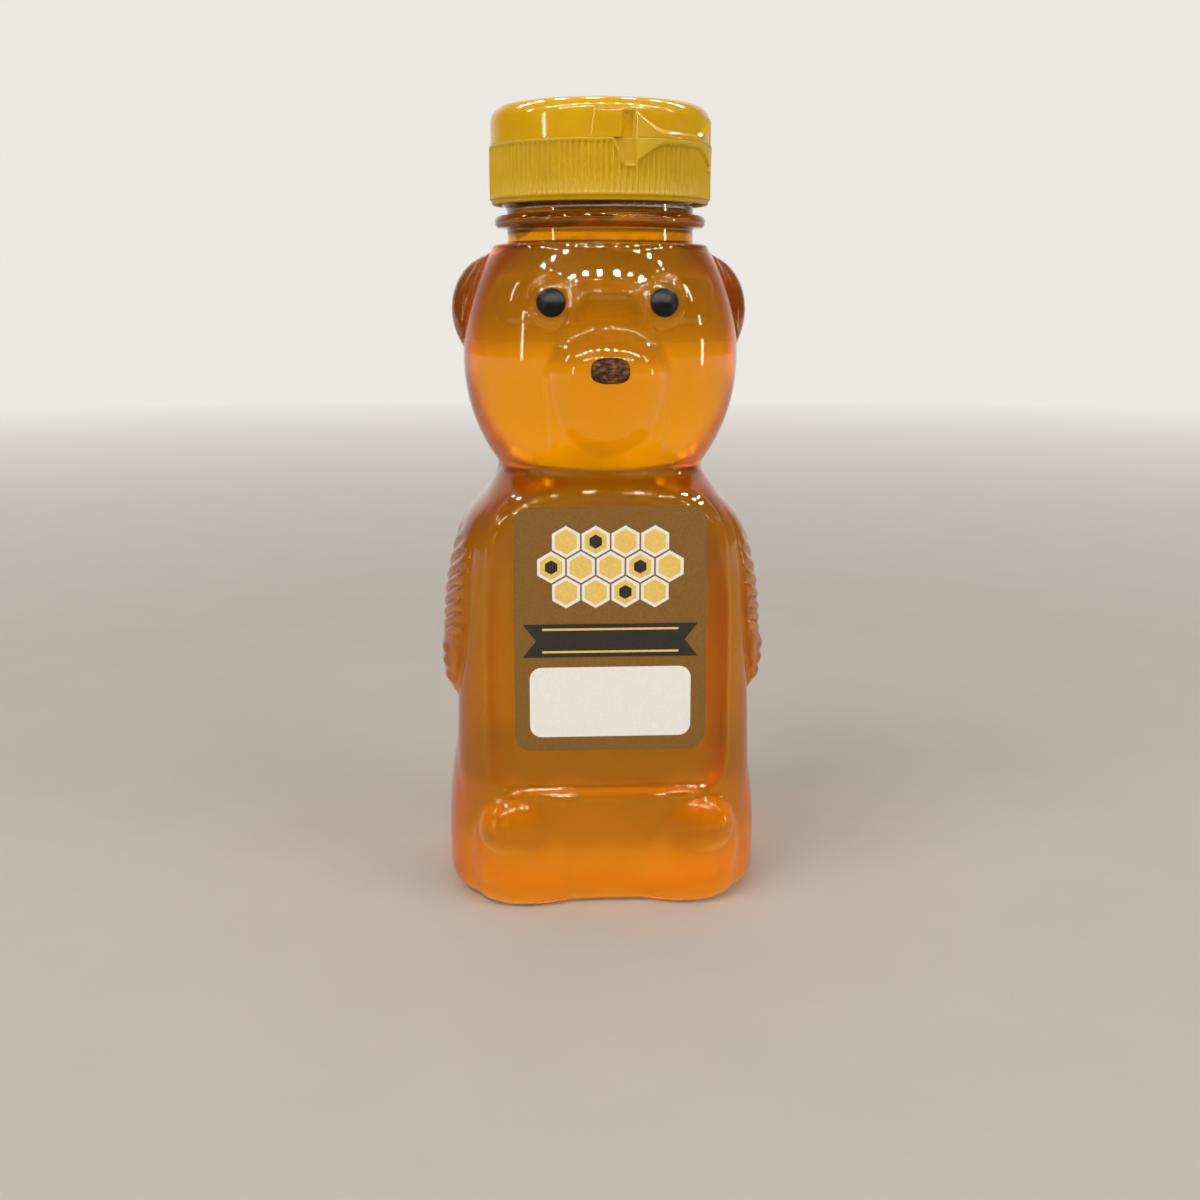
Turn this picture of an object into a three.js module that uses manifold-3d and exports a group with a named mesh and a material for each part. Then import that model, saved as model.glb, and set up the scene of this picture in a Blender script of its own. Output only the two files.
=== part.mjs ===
import * as THREE from 'three';
import { mergeVertices } from 'three/addons/utils/BufferGeometryUtils.js';
import Module from 'manifold-3d';

const wasm = await Module();
wasm.setup();

// Sizes in millimetres and degrees, +Z up. The bear faces -Y and its neck is the turning axis.
// Azimuths run from the front towards +X.

// Fits
const SEAT_GAP = 0.3; // between a piece and the one it seats on
const THREAD_PLAY = 0.45; // closure bore around the neck's thread crest
const PIN_PLAY = 0.4; // sealing pin inside the spout
const SNAP_PLAY = 0.4; // snap ring inside the lid wall

// Body: floor to the crease under the chin
const BODY_HEIGHT = 81;
const BODY_WIDTH = 57.2; // without arms and haunches
const BODY_DEPTH = 50;
const BODY_BACK_POWER = 3; // squareness of the back half's outline
// Each station is at a share of the height, with shares of half the width and half the depth.
const BODY_STATIONS = [
  { share: 0, side: 0.993, front: 0.916, back: 0.904, power: 4 },
  { share: 0.12, side: 1, front: 0.956, back: 0.936, power: 4 },
  { share: 0.3, side: 0.99, front: 1.016, back: 0.952, power: 4 },
  { share: 0.55, side: 0.969, front: 1.04, back: 0.944, power: 4 },
  { share: 0.8, side: 0.93, front: 1.04, back: 0.912, power: 4 },
  { share: 0.89, side: 0.874, front: 1.032, back: 0.864, power: 3.7 },
  { share: 0.95, side: 0.755, front: 0.984, back: 0.792, power: 3 },
  { share: 1, side: 0.661, front: 0.728, back: 0.704, power: 2.2 },
  { share: 1.06, side: 0.542, front: 0.54, back: 0.58, power: 2.1 },
];
const CREASE_BLEND = 1.6; // softness of the crease under the chin

// Base
const HEEL_RADIUS = 3.6;
const STAND_WIDTH = 3.4; // flat band that the bottle stands on
const PUSH_UP = 2.5; // hollow under the base

// Flat belly panel
const PANEL_CUT = 2; // panel's plane behind half the body's depth
const PANEL_WIDTH = 43.4;
const PANEL_BOTTOM = 22.8;
const PANEL_CORNER = 5.5;
const PANEL_FLANK = 1.4; // rise of the flank per millimetre outside the panel
const PANEL_BLEND = 0.9;

// Feet and haunches
const FOOT_AZIMUTH = 36;
const FOOT_SPREAD = 18;
const FOOT_HEIGHT = 22;
const FOOT_KNEE = 14; // rounded upper part of a foot
const FOOT_PROUD = 2.8;
const KNEE_RISE = 17.6;
const KNEE_RADIUS = 5.6;
const KNEE_PROUD = 1.5;
const HAUNCH_AZIMUTH = 92;
const HAUNCH_SPREAD = 40;
const HAUNCH_HEIGHT = 27;
const HAUNCH_PROUD = 1.6;

// Arms
const ARM_AZIMUTH = 84;
const ARM_SPREAD = 31;
const ARM_FRONT_EDGE = 0.45; // power of the hump: steep towards the belly
const ARM_REAR_EDGE = 1.2; // soft towards the back
const ARM_TIP = 36.6;
const ARM_ELBOW = 51; // height where an arm stands proudest
const ARM_SHOULDER = 76;
const ARM_PROUD = 3.1;

// Head: heights are above the crease
const HEAD_HEIGHT = 40.3;
const HEAD_WAIST = 20.5; // height of the widest level
const HEAD_WIDTH = 51.8;
const HEAD_DEPTH = 48.4;
const HEAD_UPPER = 31.5; // half height of the ellipse over the widest level
const HEAD_LOWER = 30;
const HEAD_POWER = 2.15;

// Ears
const EAR_AZIMUTH = 98;
const EAR_SPREAD = 12.5;
const EAR_REAR_SPREAD = 30; // an ear slopes off behind
const EAR_RISE = 29.2;
const EAR_HALF_HEIGHT = 10.2;
const EAR_ROOT = 19.5; // from the axis to the middle of the ear
const EAR_HALF_WIDTH = 8.8;

// Face
const MUZZLE_RISE = 18.2; // height of the muzzle's tip
const MUZZLE_PROUD = 4.9;
const MUZZLE_UPPER = 8; // tip to the muzzle's upper edge
const MUZZLE_LOWER = 15;
const MUZZLE_HALF_WIDTH = 10.5;
const BRIDGE_PROUD = 1.3; // raised field from the brow over the muzzle to the chin
const BRIDGE_TOP = 34.9;
const BRIDGE_EDGE = 2.4; // width of the slope round the field
const BRIDGE_FADE = 8; // height over which the field rises out of the chin
const BRIDGE_STATIONS = [
  { rise: 0, halfWidth: 9 },
  { rise: 5, halfWidth: 10 },
  { rise: 18, halfWidth: 10.8 },
  { rise: 30.6, halfWidth: 6 },
  { rise: 34.7, halfWidth: 6.4 },
];
const EYE_SPACING = 19.8;
const EYE_RISE = 30.6;
const EYE_RADIUS = 2.55;
const EYE_DOME = 0.7;
const SOCKET_RADIUS = 4.4;
const SOCKET_PROUD = 0.9;
const NOSE_RISE = 18.2;
const NOSE_WIDTH = 6.7;
const NOSE_HEIGHT = 4.5;
const NOSE_FLAT = 0.45; // depth of the nose under its widest line against that over it
const PAD_THICKNESS = 0.4;

// Neck finish
const NECK_RADIUS = 17.4;
const NECK_LENGTH = 3.6; // head to the transfer ring
const RING_RADIUS = 19.7;
const RING_THICKNESS = 2.2;
const FINISH_HEIGHT = 9.2; // transfer ring to the lip
const THREAD_DEPTH = 1.3;
const NECK_WALL = 1.7;
const WALL = 0.8;
const BASE_WALL = 1.2;
const HONEY_DROP = 8.1; // lip down to the honey

// Label
const LABEL_WIDTH = 35.1;
const LABEL_HEIGHT = 45.3;
const LABEL_BOTTOM = 30.3;
const LABEL_SHIFT = 0.5;
const LABEL_CORNER = 3;
const LABEL_THICKNESS = 0.2;

// Gasket
const GASKET_THICKNESS = 1;
const GASKET_WIDTH = 4;

// Closure base
const SKIRT_GAP = 2; // transfer ring to the closure's rim
const SKIRT_WALL = 1;
const RIM_HEIGHT = 1.35; // plain band under the ribs
const RIB_DEPTH = 0.4;
const RIB_COUNT = 120;
const DECK_THICKNESS = 1.5;
const SPOUT_BORE = 6.4;
const SPOUT_WALL = 1.3;
const SPOUT_HEIGHT = 3.4;
const SNAP_WIDTH = 0.8;
const SNAP_HEIGHT = 1.2;

// Flip lid
const LID_HEIGHT = 6.9;
const LID_INSET = 0.25; // lid inside the ribs' crest
const LID_WALL = 1.2;
const LID_EDGE = 2.9;
const PIN_REACH = 1.6; // sealing pin inside the spout
const LIP_WIDTH = 13;
const LIP_HEIGHT = 1.7;
const LIP_REACH = 1.4;
const GRIP_HEIGHT = 3.2; // finger recess under the lip
const GRIP_DEPTH = 0.5;

// Butterfly hinge: a bow-tie around the fold line
const HINGE_AZIMUTH = 42;
const WAIST_WIDTH = 9;
const WAIST_HEIGHT = 2.2;
const WING_WIDTH = 5.5;
const WING_DEPTH = 4.4; // height of each half of a wing at its outer end
const WING_PROUD = 0.4;
const LID_NOTCH_WIDTH = 2.8;
const BASE_NOTCH_WIDTH = 4; // at the parting line
const BASE_NOTCH_END = 1.8; // at its lower end
const NOTCH_DEPTH = 0.8;

// Mesh resolution
const FACE_STEP = 6;
const BACK_STEP = 15;
const FACE_LIMIT = 120;
const OUTER_STEP = 3.2;
const INNER_STEP = 9;
const ROUND_SEGMENTS = 44;
const CORNER_SEGMENTS = 4;

// Levels and radii that follow from the sizes
const panelReach = BODY_DEPTH / 2 - PANEL_CUT;
const headTop = BODY_HEIGHT + HEAD_HEIGHT;
const ringBottom = headTop + NECK_LENGTH;
const ringTop = ringBottom + RING_THICKNESS;
const lipTop = ringTop + FINISH_HEIGHT;
const honeyTop = lipTop - HONEY_DROP;
const boreRadius = NECK_RADIUS - NECK_WALL;
const threadRadius = NECK_RADIUS + THREAD_DEPTH;
const gasketBottom = lipTop + SEAT_GAP;
const gasketTop = gasketBottom + GASKET_THICKNESS;
const rimBottom = ringTop + SKIRT_GAP;
const ribBottom = rimBottom + RIM_HEIGHT;
const deckBottom = gasketTop + SEAT_GAP;
const deckTop = deckBottom + DECK_THICKNESS;
const closureBore = threadRadius + THREAD_PLAY;
const rimRadius = closureBore + SKIRT_WALL;
const ribRadius = rimRadius + RIB_DEPTH;
const spoutRadius = SPOUT_BORE / 2;
const spoutOuter = spoutRadius + SPOUT_WALL;
const spoutTop = deckTop + SPOUT_HEIGHT;
const lidBottom = deckTop + SEAT_GAP;
const lidTop = lidBottom + LID_HEIGHT;
const lidUnder = lidTop - LID_WALL;
const lidRadius = ribRadius - LID_INSET;
const lidBore = lidRadius - LID_WALL;
const wingRadius = ribRadius + WING_PROUD;

// Small helpers

const radians = THREE.MathUtils.degToRad;

function smoothMax(a, b, blend) {
  const near = Math.max(blend - Math.abs(a - b), 0) / blend;
  return Math.max(a, b) + (near * near * blend) / 4;
}

function smoothMin(a, b, blend) {
  return -smoothMax(-a, -b, blend);
}

// A rounded hump: 1 in the middle, 0 from the rim outwards.
function hump(squaredShare, power) {
  return Math.max(1 - squaredShare, 0) ** power;
}

function range(from, to, step) {
  const count = Math.ceil((to - from) / step - 1e-6);
  return Array.from({ length: count + 1 }, (_, i) => from + ((to - from) * i) / count);
}

// Shape of the bear, as a distance from the axis at an azimuth and a height

const bodySpline = ['side', 'front', 'back', 'power'].map((key) => new THREE.CubicInterpolant(
  BODY_STATIONS.map((station) => station.share * BODY_HEIGHT),
  BODY_STATIONS.map((station) => station[key]),
  1,
));

function outlineRadius(azimuth, side, along, power) {
  const across = (Math.abs(Math.sin(azimuth)) / side) ** power;
  return (across + (Math.abs(Math.cos(azimuth)) / along) ** power) ** (-1 / power);
}

function bodyRadius(azimuth, height) {
  const highest = BODY_HEIGHT * BODY_STATIONS.at(-1).share;
  const level = Math.min(height, highest);
  const [side, front, back, power] = bodySpline.map((spline) => spline.evaluate(level)[0]);
  const across = (side * BODY_WIDTH) / 2;
  if (Math.cos(azimuth) <= 0) {
    return outlineRadius(azimuth, across, (back * BODY_DEPTH) / 2, Math.min(power, BODY_BACK_POWER));
  }
  const round = outlineRadius(azimuth, across, (front * BODY_DEPTH) / 2, power);
  return smoothMin(round, panelLimit(azimuth, height), PANEL_BLEND);
}

// The panel's plane, with a flank that climbs outside its rounded lower edge.
function panelLimit(azimuth, height) {
  const sideways = panelReach * Math.abs(Math.tan(azimuth)) - (PANEL_WIDTH / 2 - PANEL_CORNER);
  const downward = PANEL_BOTTOM + PANEL_CORNER - height;
  const outside = Math.hypot(Math.max(sideways, 0), Math.max(downward, 0)) - PANEL_CORNER;
  return (panelReach + Math.max(outside, 0) * PANEL_FLANK) / Math.max(Math.cos(azimuth), 0.05);
}

function headRadius(azimuth, height) {
  const rise = height - BODY_HEIGHT - HEAD_WAIST;
  const share = Math.min(Math.abs(rise) / (rise > 0 ? HEAD_UPPER : HEAD_LOWER), 0.999);
  return outlineRadius(azimuth, HEAD_WIDTH / 2, HEAD_DEPTH / 2, HEAD_POWER) * Math.sqrt(1 - share * share);
}

function limbProud(azimuth, height) {
  const turn = Math.abs(azimuth);
  const knee = Math.max(height - (FOOT_HEIGHT - FOOT_KNEE), 0) / FOOT_KNEE;
  const footTurn = (turn - radians(FOOT_AZIMUTH)) / radians(FOOT_SPREAD);
  const kneeTurn = (turn - radians(FOOT_AZIMUTH)) * (BODY_DEPTH / 2) / KNEE_RADIUS;
  const kneeRise = (height - KNEE_RISE) / KNEE_RADIUS;
  const haunchTurn = (turn - radians(HAUNCH_AZIMUTH)) / radians(HAUNCH_SPREAD);
  const haunchRise = Math.max(height - HAUNCH_HEIGHT / 3, 0) / (HAUNCH_HEIGHT * 2 / 3);
  return FOOT_PROUD * hump(footTurn ** 2 + knee ** 2, 1.1)
    + KNEE_PROUD * hump(kneeTurn ** 2 + kneeRise ** 2, 1.5)
    + HAUNCH_PROUD * hump(haunchTurn ** 2 + haunchRise ** 2, 0.9)
    + armProud(turn, height);
}

function armProud(turn, height) {
  const along = (height - ARM_TIP) / (ARM_SHOULDER - ARM_TIP);
  if (along <= 0 || along >= 1) return 0;
  const spread = radians(ARM_SPREAD) * Math.sqrt(1 - (1 - along) ** 4);
  const across = (turn - radians(ARM_AZIMUTH)) / spread;
  const above = Math.max(height - ARM_ELBOW, 0) / (ARM_SHOULDER - ARM_ELBOW);
  const below = Math.max(ARM_ELBOW - height, 0) / (ARM_ELBOW - ARM_TIP);
  const edge = across < 0 ? ARM_FRONT_EDGE : ARM_REAR_EDGE;
  return ARM_PROUD * hump(above ** 2, 1) * hump(below ** 3.5, 1) * hump(across ** 2, edge);
}

function earProud(azimuth, height, base) {
  const rise = (height - BODY_HEIGHT - EAR_RISE) / EAR_HALF_HEIGHT;
  const reach = EAR_ROOT + EAR_HALF_WIDTH * Math.sqrt(Math.max(1 - rise * rise, 0));
  const turn = Math.abs(azimuth) - radians(EAR_AZIMUTH);
  const across = turn / radians(turn < 0 ? EAR_SPREAD : EAR_REAR_SPREAD);
  return Math.max(reach - base, 0) * hump(across ** 2, turn < 0 ? 0.6 : 1);
}

const bridgeSpline = new THREE.LinearInterpolant(
  BRIDGE_STATIONS.map((station) => station.rise),
  BRIDGE_STATIONS.map((station) => station.halfWidth),
  1,
);

function bridgeProud(sideways, rise) {
  const { smoothstep } = THREE.MathUtils;
  const soft = BRIDGE_EDGE / 2;
  const inside = smoothstep(bridgeSpline.evaluate(rise)[0] - sideways, -soft, soft);
  return BRIDGE_PROUD * inside * smoothstep(BRIDGE_TOP - rise, -soft, soft) * smoothstep(rise, 0, BRIDGE_FADE);
}

function faceProud(azimuth, height, base) {
  if (Math.cos(azimuth) <= 0) return 0;
  const sideways = Math.abs(base * Math.sin(azimuth));
  const rise = height - BODY_HEIGHT;
  const tip = rise - MUZZLE_RISE;
  const climb = tip > 0 ? tip / MUZZLE_UPPER : tip / MUZZLE_LOWER;
  const muzzle = MUZZLE_PROUD * hump(climb ** 2 + (sideways / MUZZLE_HALF_WIDTH) ** 2, 0.9);
  const fromEye = Math.hypot(sideways - EYE_SPACING / 2, rise - EYE_RISE) / SOCKET_RADIUS;
  return muzzle + bridgeProud(sideways, rise) + SOCKET_PROUD * hump(fromEye ** 2, 1.2);
}

function bearRadius(azimuth, height) {
  const head = headRadius(azimuth, height);
  const proudHead = head + faceProud(azimuth, height, head) + earProud(azimuth, height, head);
  const body = bodyRadius(azimuth, height) + limbProud(azimuth, height);
  return smoothMax(body, proudHead, CREASE_BLEND);
}

// Inside of the wall, measured square to the surface.
function cavityRadius(azimuth, height) {
  const step = 0.01;
  const radius = bearRadius(azimuth, height);
  const steepest = (a, b) => Math.max(Math.abs(a - radius), Math.abs(b - radius)) / step;
  const slope = steepest(bearRadius(azimuth, height + step), bearRadius(azimuth, height - step));
  const turn = steepest(bearRadius(azimuth + step, height), bearRadius(azimuth - step, height)) / radius;
  return radius - WALL * Math.min(Math.hypot(1, slope, turn), 2);
}

// Solids

const stationAngles = [
  ...range(-180, -FACE_LIMIT, BACK_STEP).slice(0, -1),
  ...range(-FACE_LIMIT, FACE_LIMIT, FACE_STEP).slice(0, -1),
  ...range(FACE_LIMIT, 180, BACK_STEP).slice(0, -1),
].map(radians);

// Heights for the rings, with one on every level where the bear's outline turns sharply.
function levels(from, to, step) {
  const muzzleTop = BODY_HEIGHT + MUZZLE_RISE + MUZZLE_UPPER;
  const turns = [
    PANEL_BOTTOM, ARM_TIP, ARM_TIP + OUTER_STEP, ARM_ELBOW, ARM_SHOULDER,
    BODY_HEIGHT, BODY_HEIGHT + OUTER_STEP, BODY_HEIGHT + HEAD_WAIST, muzzleTop,
  ];
  const marks = turns.filter((mark) => mark > from && mark < to).sort((a, b) => a - b);
  const stops = [from, ...marks, to];
  return stops.slice(1).flatMap((stop, i) => range(stops[i], stop, step).slice(i === 0 ? 0 : 1));
}

// One closed ring of points at a height, from a radius for each azimuth.
function ring(height, radiusAt) {
  return stationAngles.map((azimuth) => {
    const radius = radiusAt(azimuth);
    return new THREE.Vector3(radius * Math.sin(azimuth), -radius * Math.cos(azimuth), height);
  });
}

// Skin over a stack of rings, closed by a point under the first and one over the last.
function loft(bottom, rings, top) {
  const count = stationAngles.length;
  const points = [bottom, ...rings.flat(), top];
  const faces = [];
  for (let j = 0; j < count; j += 1) {
    const next = (j + 1) % count;
    faces.push(0, 1 + next, 1 + j);
    for (let i = 0; i + 1 < rings.length; i += 1) {
      const low = 1 + i * count;
      const high = low + count;
      faces.push(low + j, low + next, high + next, low + j, high + next, high + j);
    }
    const last = 1 + (rings.length - 1) * count;
    faces.push(last + j, last + next, points.length - 1);
  }
  const geometry = new THREE.BufferGeometry().setFromPoints(points);
  geometry.setIndex(faces);
  return geometry;
}

function welded(geometry) {
  const bare = geometry.clone();
  bare.deleteAttribute('normal');
  bare.deleteAttribute('uv');
  const merged = mergeVertices(bare, 1e-4);
  const index = Array.from(merged.index.array);
  const faces = [];
  for (let i = 0; i < index.length; i += 3) {
    const [a, b, c] = index.slice(i, i + 3);
    if (a !== b && b !== c && c !== a) faces.push(a, b, c);
  }
  merged.setIndex(faces);
  return merged;
}

function solid(geometry) {
  const merged = welded(geometry);
  return new wasm.Manifold(new wasm.Mesh({
    numProp: 3,
    vertProperties: Float32Array.from(merged.attributes.position.array),
    triVerts: Uint32Array.from(merged.index.array),
  }));
}

function geometryOf(body) {
  const mesh = body.getMesh();
  const geometry = new THREE.BufferGeometry();
  geometry.setAttribute('position', new THREE.Float32BufferAttribute(mesh.vertProperties, 3));
  geometry.setIndex(Array.from(mesh.triVerts));
  return geometry;
}

function lathe(profile) {
  const geometry = new THREE.LatheGeometry(profile.map(([r, z]) => new THREE.Vector2(r, z)), ROUND_SEGMENTS);
  return geometry.rotateX(Math.PI / 2);
}

// Prism with its outline in the YZ plane, running along X.
function prism(outline, from, to) {
  const shape = new THREE.Shape(outline.map(([y, z]) => new THREE.Vector2(y, z)));
  const geometry = new THREE.ExtrudeGeometry(shape, { depth: to - from, bevelEnabled: false });
  const turn = new THREE.Matrix4().set(0, 0, 1, from, 1, 0, 0, 0, 0, 1, 0, 0, 0, 0, 0, 1);
  return solid(geometry.applyMatrix4(turn));
}

function block(y0, y1, z0, z1, x0, x1) {
  return prism([[y0, z0], [y1, z0], [y1, z1], [y0, z1]], x0, x1);
}

function hoop(inner, outer, bottom, top) {
  return solid(lathe([[inner, bottom], [outer, bottom], [outer, top], [inner, top], [inner, bottom]]));
}

function arc(centreR, centreZ, radius, from, to, count) {
  return range(from, to, (to - from) / count)
    .map(radians)
    .map((angle) => [centreR + radius * Math.cos(angle), centreZ + radius * Math.sin(angle)]);
}

function roundedRectangle(width, height, corner) {
  const shape = new THREE.Shape();
  const x = width / 2 - corner;
  const y = height / 2 - corner;
  shape.absarc(x, y, corner, 0, Math.PI / 2);
  shape.absarc(-x, y, corner, Math.PI / 2, Math.PI);
  shape.absarc(-x, -y, corner, Math.PI, Math.PI * 1.5);
  shape.absarc(x, -y, corner, Math.PI * 1.5, Math.PI * 2);
  return shape;
}

function piece(name, geometry, material) {
  const mesh = new THREE.Mesh(geometry, new THREE.MeshStandardMaterial(material));
  mesh.name = name;
  return mesh;
}

// Bottle

function standRadius(azimuth) {
  return bearRadius(azimuth, HEEL_RADIUS) - HEEL_RADIUS;
}

function bottleSkin() {
  const pushUp = [0.5, 0.8].map((share) => ring(
    PUSH_UP * (1 - share * share),
    (azimuth) => share * (standRadius(azimuth) - STAND_WIDTH),
  ));
  const stand = [STAND_WIDTH, 0].map((inset) => ring(0, (azimuth) => standRadius(azimuth) - inset));
  const heel = [30, 60].map(radians).map((angle) => ring(
    HEEL_RADIUS * (1 - Math.cos(angle)),
    (azimuth) => standRadius(azimuth) + HEEL_RADIUS * Math.sin(angle),
  ));
  const bear = levels(HEEL_RADIUS, headTop, OUTER_STEP)
    .map((height) => ring(height, (azimuth) => bearRadius(azimuth, height)));
  const finish = [
    [NECK_RADIUS, headTop + CREASE_BLEND / 2],
    [NECK_RADIUS, ringBottom],
    [RING_RADIUS, ringBottom + RING_THICKNESS / 4],
    [RING_RADIUS, ringTop - RING_THICKNESS / 4],
    [NECK_RADIUS, ringTop],
    [NECK_RADIUS, lipTop],
  ].map(([radius, height]) => ring(height, () => radius));
  return loft(
    new THREE.Vector3(0, 0, PUSH_UP),
    [...pushUp, ...stand, ...heel, ...bear, ...finish],
    new THREE.Vector3(0, 0, lipTop),
  );
}

// Inside of the bottle, drawn in by a gap and closed at a level in the neck.
function cavity(gap, top) {
  const floor = BASE_WALL + gap;
  const pushUp = [0.5, 0.85].map((share) => ring(
    PUSH_UP * (1 - share * share) + floor,
    (azimuth) => share * (standRadius(azimuth) - STAND_WIDTH),
  ));
  const trough = ring(floor, (azimuth) => standRadius(azimuth) - WALL - gap);
  const inner = levels(HEEL_RADIUS + BASE_WALL + SEAT_GAP, headTop - WALL - NECK_WALL, INNER_STEP)
    .map((height) => ring(height, (azimuth) => cavityRadius(azimuth, height) - gap));
  const bore = [headTop, top].map((height) => ring(height, () => boreRadius - gap));
  return loft(
    new THREE.Vector3(0, 0, PUSH_UP + floor),
    [...pushUp, trough, ...inner, ...bore],
    new THREE.Vector3(0, 0, top),
  );
}

function bottle() {
  const hollow = solid(bottleSkin()).subtract(solid(cavity(0, lipTop + NECK_WALL)));
  return piece('bottle', geometryOf(hollow), {
    color: '#e8e4d6', roughness: 0.08, metalness: 0, transparent: true, opacity: 0.3,
  });
}

function honeyFill() {
  return piece('honey_fill', cavity(SEAT_GAP, honeyTop), { color: '#c06a08', roughness: 0.15, metalness: 0 });
}

// Label and face

function frontLabel() {
  const shape = roundedRectangle(LABEL_WIDTH, LABEL_HEIGHT, LABEL_CORNER);
  const geometry = new THREE.ExtrudeGeometry(shape, {
    depth: LABEL_THICKNESS, bevelEnabled: false, curveSegments: CORNER_SEGMENTS,
  });
  geometry.rotateX(Math.PI / 2);
  geometry.translate(LABEL_SHIFT, -panelReach - SEAT_GAP, LABEL_BOTTOM + LABEL_HEIGHT / 2);
  return piece('front_label', welded(geometry), { color: '#8a6428', roughness: 0.55, metalness: 0 });
}

// Lays a flat round pad on the face, its +Z pointing out of the bear.
function onFace(geometry, centreX, centreRise) {
  const place = geometry.attributes.position;
  for (let i = 0; i < place.count; i += 1) {
    const x = centreX + place.getX(i);
    const z = BODY_HEIGHT + centreRise + place.getY(i);
    let azimuth = Math.asin((2 * x) / HEAD_DEPTH);
    for (let pass = 0; pass < 6; pass += 1) azimuth = Math.asin(x / bearRadius(azimuth, z));
    const radius = bearRadius(azimuth, z) + SEAT_GAP + place.getZ(i);
    place.setXYZ(i, radius * Math.sin(azimuth), -radius * Math.cos(azimuth), z);
  }
  return welded(geometry);
}

function roundPad(radius, dome) {
  const crown = [0.85, 0.55, 0].map((share) => [share * radius, PAD_THICKNESS + dome * (1 - share * share)]);
  const profile = [[0, 0], [radius / 2, 0], [radius, 0], ...crown];
  const points = profile.map(([r, z]) => new THREE.Vector2(r, z));
  return new THREE.LatheGeometry(points, ROUND_SEGMENTS / 2).rotateX(Math.PI / 2);
}

function eye(name, side) {
  const geometry = onFace(roundPad(EYE_RADIUS, EYE_DOME), (side * EYE_SPACING) / 2, EYE_RISE);
  return piece(name, geometry, { color: '#0d0b0a', roughness: 0.25, metalness: 0 });
}

function nosePad() {
  const geometry = roundPad(NOSE_WIDTH / 2, 0);
  const place = geometry.attributes.position;
  const over = NOSE_HEIGHT / (1 + NOSE_FLAT) / (NOSE_WIDTH / 2);
  for (let i = 0; i < place.count; i += 1) {
    const y = place.getY(i);
    place.setY(i, y * over * (y < 0 ? NOSE_FLAT : 1));
  }
  const laid = onFace(geometry, 0, NOSE_RISE);
  return piece('nose_pad', laid, { color: '#2c1a10', roughness: 0.6, metalness: 0 });
}

// Closure, with its hinge towards +X before it is turned to its azimuth

function neckGasket() {
  const outer = threadRadius;
  const ringBody = hoop(outer - GASKET_WIDTH, outer, gasketBottom, gasketTop);
  return piece('neck_gasket', geometryOf(ringBody), { color: '#f0eee6', roughness: 0.8, metalness: 0 });
}

// Half of the bow-tie across the fold line; up is 1 on the lid and -1 on the base.
function wings(radius, level, up) {
  const near = WAIST_WIDTH / 2;
  const far = near + WING_WIDTH;
  const waist = level + (up * WAIST_HEIGHT) / 2;
  const end = level + up * WING_DEPTH;
  const outline = [[-far, level], [far, level], [far, end], [near, waist], [-near, waist], [-far, end]];
  const shell = hoop(radius - LID_WALL / 2, wingRadius, Math.min(level, end), Math.max(level, end));
  return shell.intersect(prism(up > 0 ? outline : outline.reverse(), 0, wingRadius * 2));
}

// Slots beside the wings, each with a width at the parting line and one at its far end.
function notches(radius, level, up, width, endWidth) {
  const near = WAIST_WIDTH / 2 + WING_WIDTH;
  const outline = [
    [near, level - up],
    [near + width, level - up],
    [near + endWidth, level + up * WING_DEPTH],
    [near, level + up * WING_DEPTH],
  ];
  const ordered = up > 0 ? outline : [...outline].reverse();
  const low = Math.min(level - up, level + up * WING_DEPTH);
  const shell = hoop(radius - NOTCH_DEPTH, radius * 2, low, low + WING_DEPTH + 1);
  const right = prism(ordered, 0, radius * 2);
  const left = prism(ordered.map(([y, z]) => [-y, z]).reverse(), 0, radius * 2);
  return shell.intersect(right.add(left));
}

// Band of upright ribs round the skirt.
function ribs() {
  const outline = new THREE.Shape(Array.from({ length: RIB_COUNT * 2 }, (_, i) => {
    const radius = i % 2 ? rimRadius : ribRadius;
    const angle = (Math.PI * i) / RIB_COUNT;
    return new THREE.Vector2(radius * Math.cos(angle), radius * Math.sin(angle));
  }));
  outline.holes.push(new THREE.Path().absarc(0, 0, closureBore + SKIRT_WALL / 2, 0, Math.PI * 2));
  const geometry = new THREE.ExtrudeGeometry(outline, {
    depth: deckTop - ribBottom, bevelEnabled: false, curveSegments: ROUND_SEGMENTS,
  });
  return solid(geometry.translate(0, 0, ribBottom));
}

function closureBase() {
  const snapOuter = lidBore - SNAP_PLAY;
  const snapInner = snapOuter - SNAP_WIDTH;
  const core = solid(lathe([
    [spoutRadius, deckBottom],
    [closureBore, deckBottom],
    [closureBore, rimBottom],
    [rimRadius, rimBottom],
    [rimRadius, deckTop],
    [snapOuter, deckTop],
    [snapOuter, deckTop + SNAP_HEIGHT],
    [snapInner, deckTop + SNAP_HEIGHT],
    [snapInner, deckTop],
    [spoutOuter, deckTop],
    ...arc(spoutOuter - SPOUT_WALL / 2, spoutTop - SPOUT_WALL / 2, SPOUT_WALL / 2, 0, 180, 4),
    [spoutRadius, deckBottom],
  ]));
  const grip = hoop(ribRadius - GRIP_DEPTH, ribRadius * 2, deckTop - GRIP_HEIGHT, deckTop + 1)
    .intersect(block(-LIP_WIDTH / 2, LIP_WIDTH / 2, rimBottom, lidTop, -ribRadius * 2, 0));
  const body = core
    .add(ribs())
    .subtract(notches(ribRadius, deckTop, -1, BASE_NOTCH_WIDTH, BASE_NOTCH_END))
    .add(wings(ribRadius, deckTop, -1))
    .subtract(grip);
  return piece('closure_base', geometryOf(body), { color: '#d9a514', roughness: 0.32, metalness: 0 });
}

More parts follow.
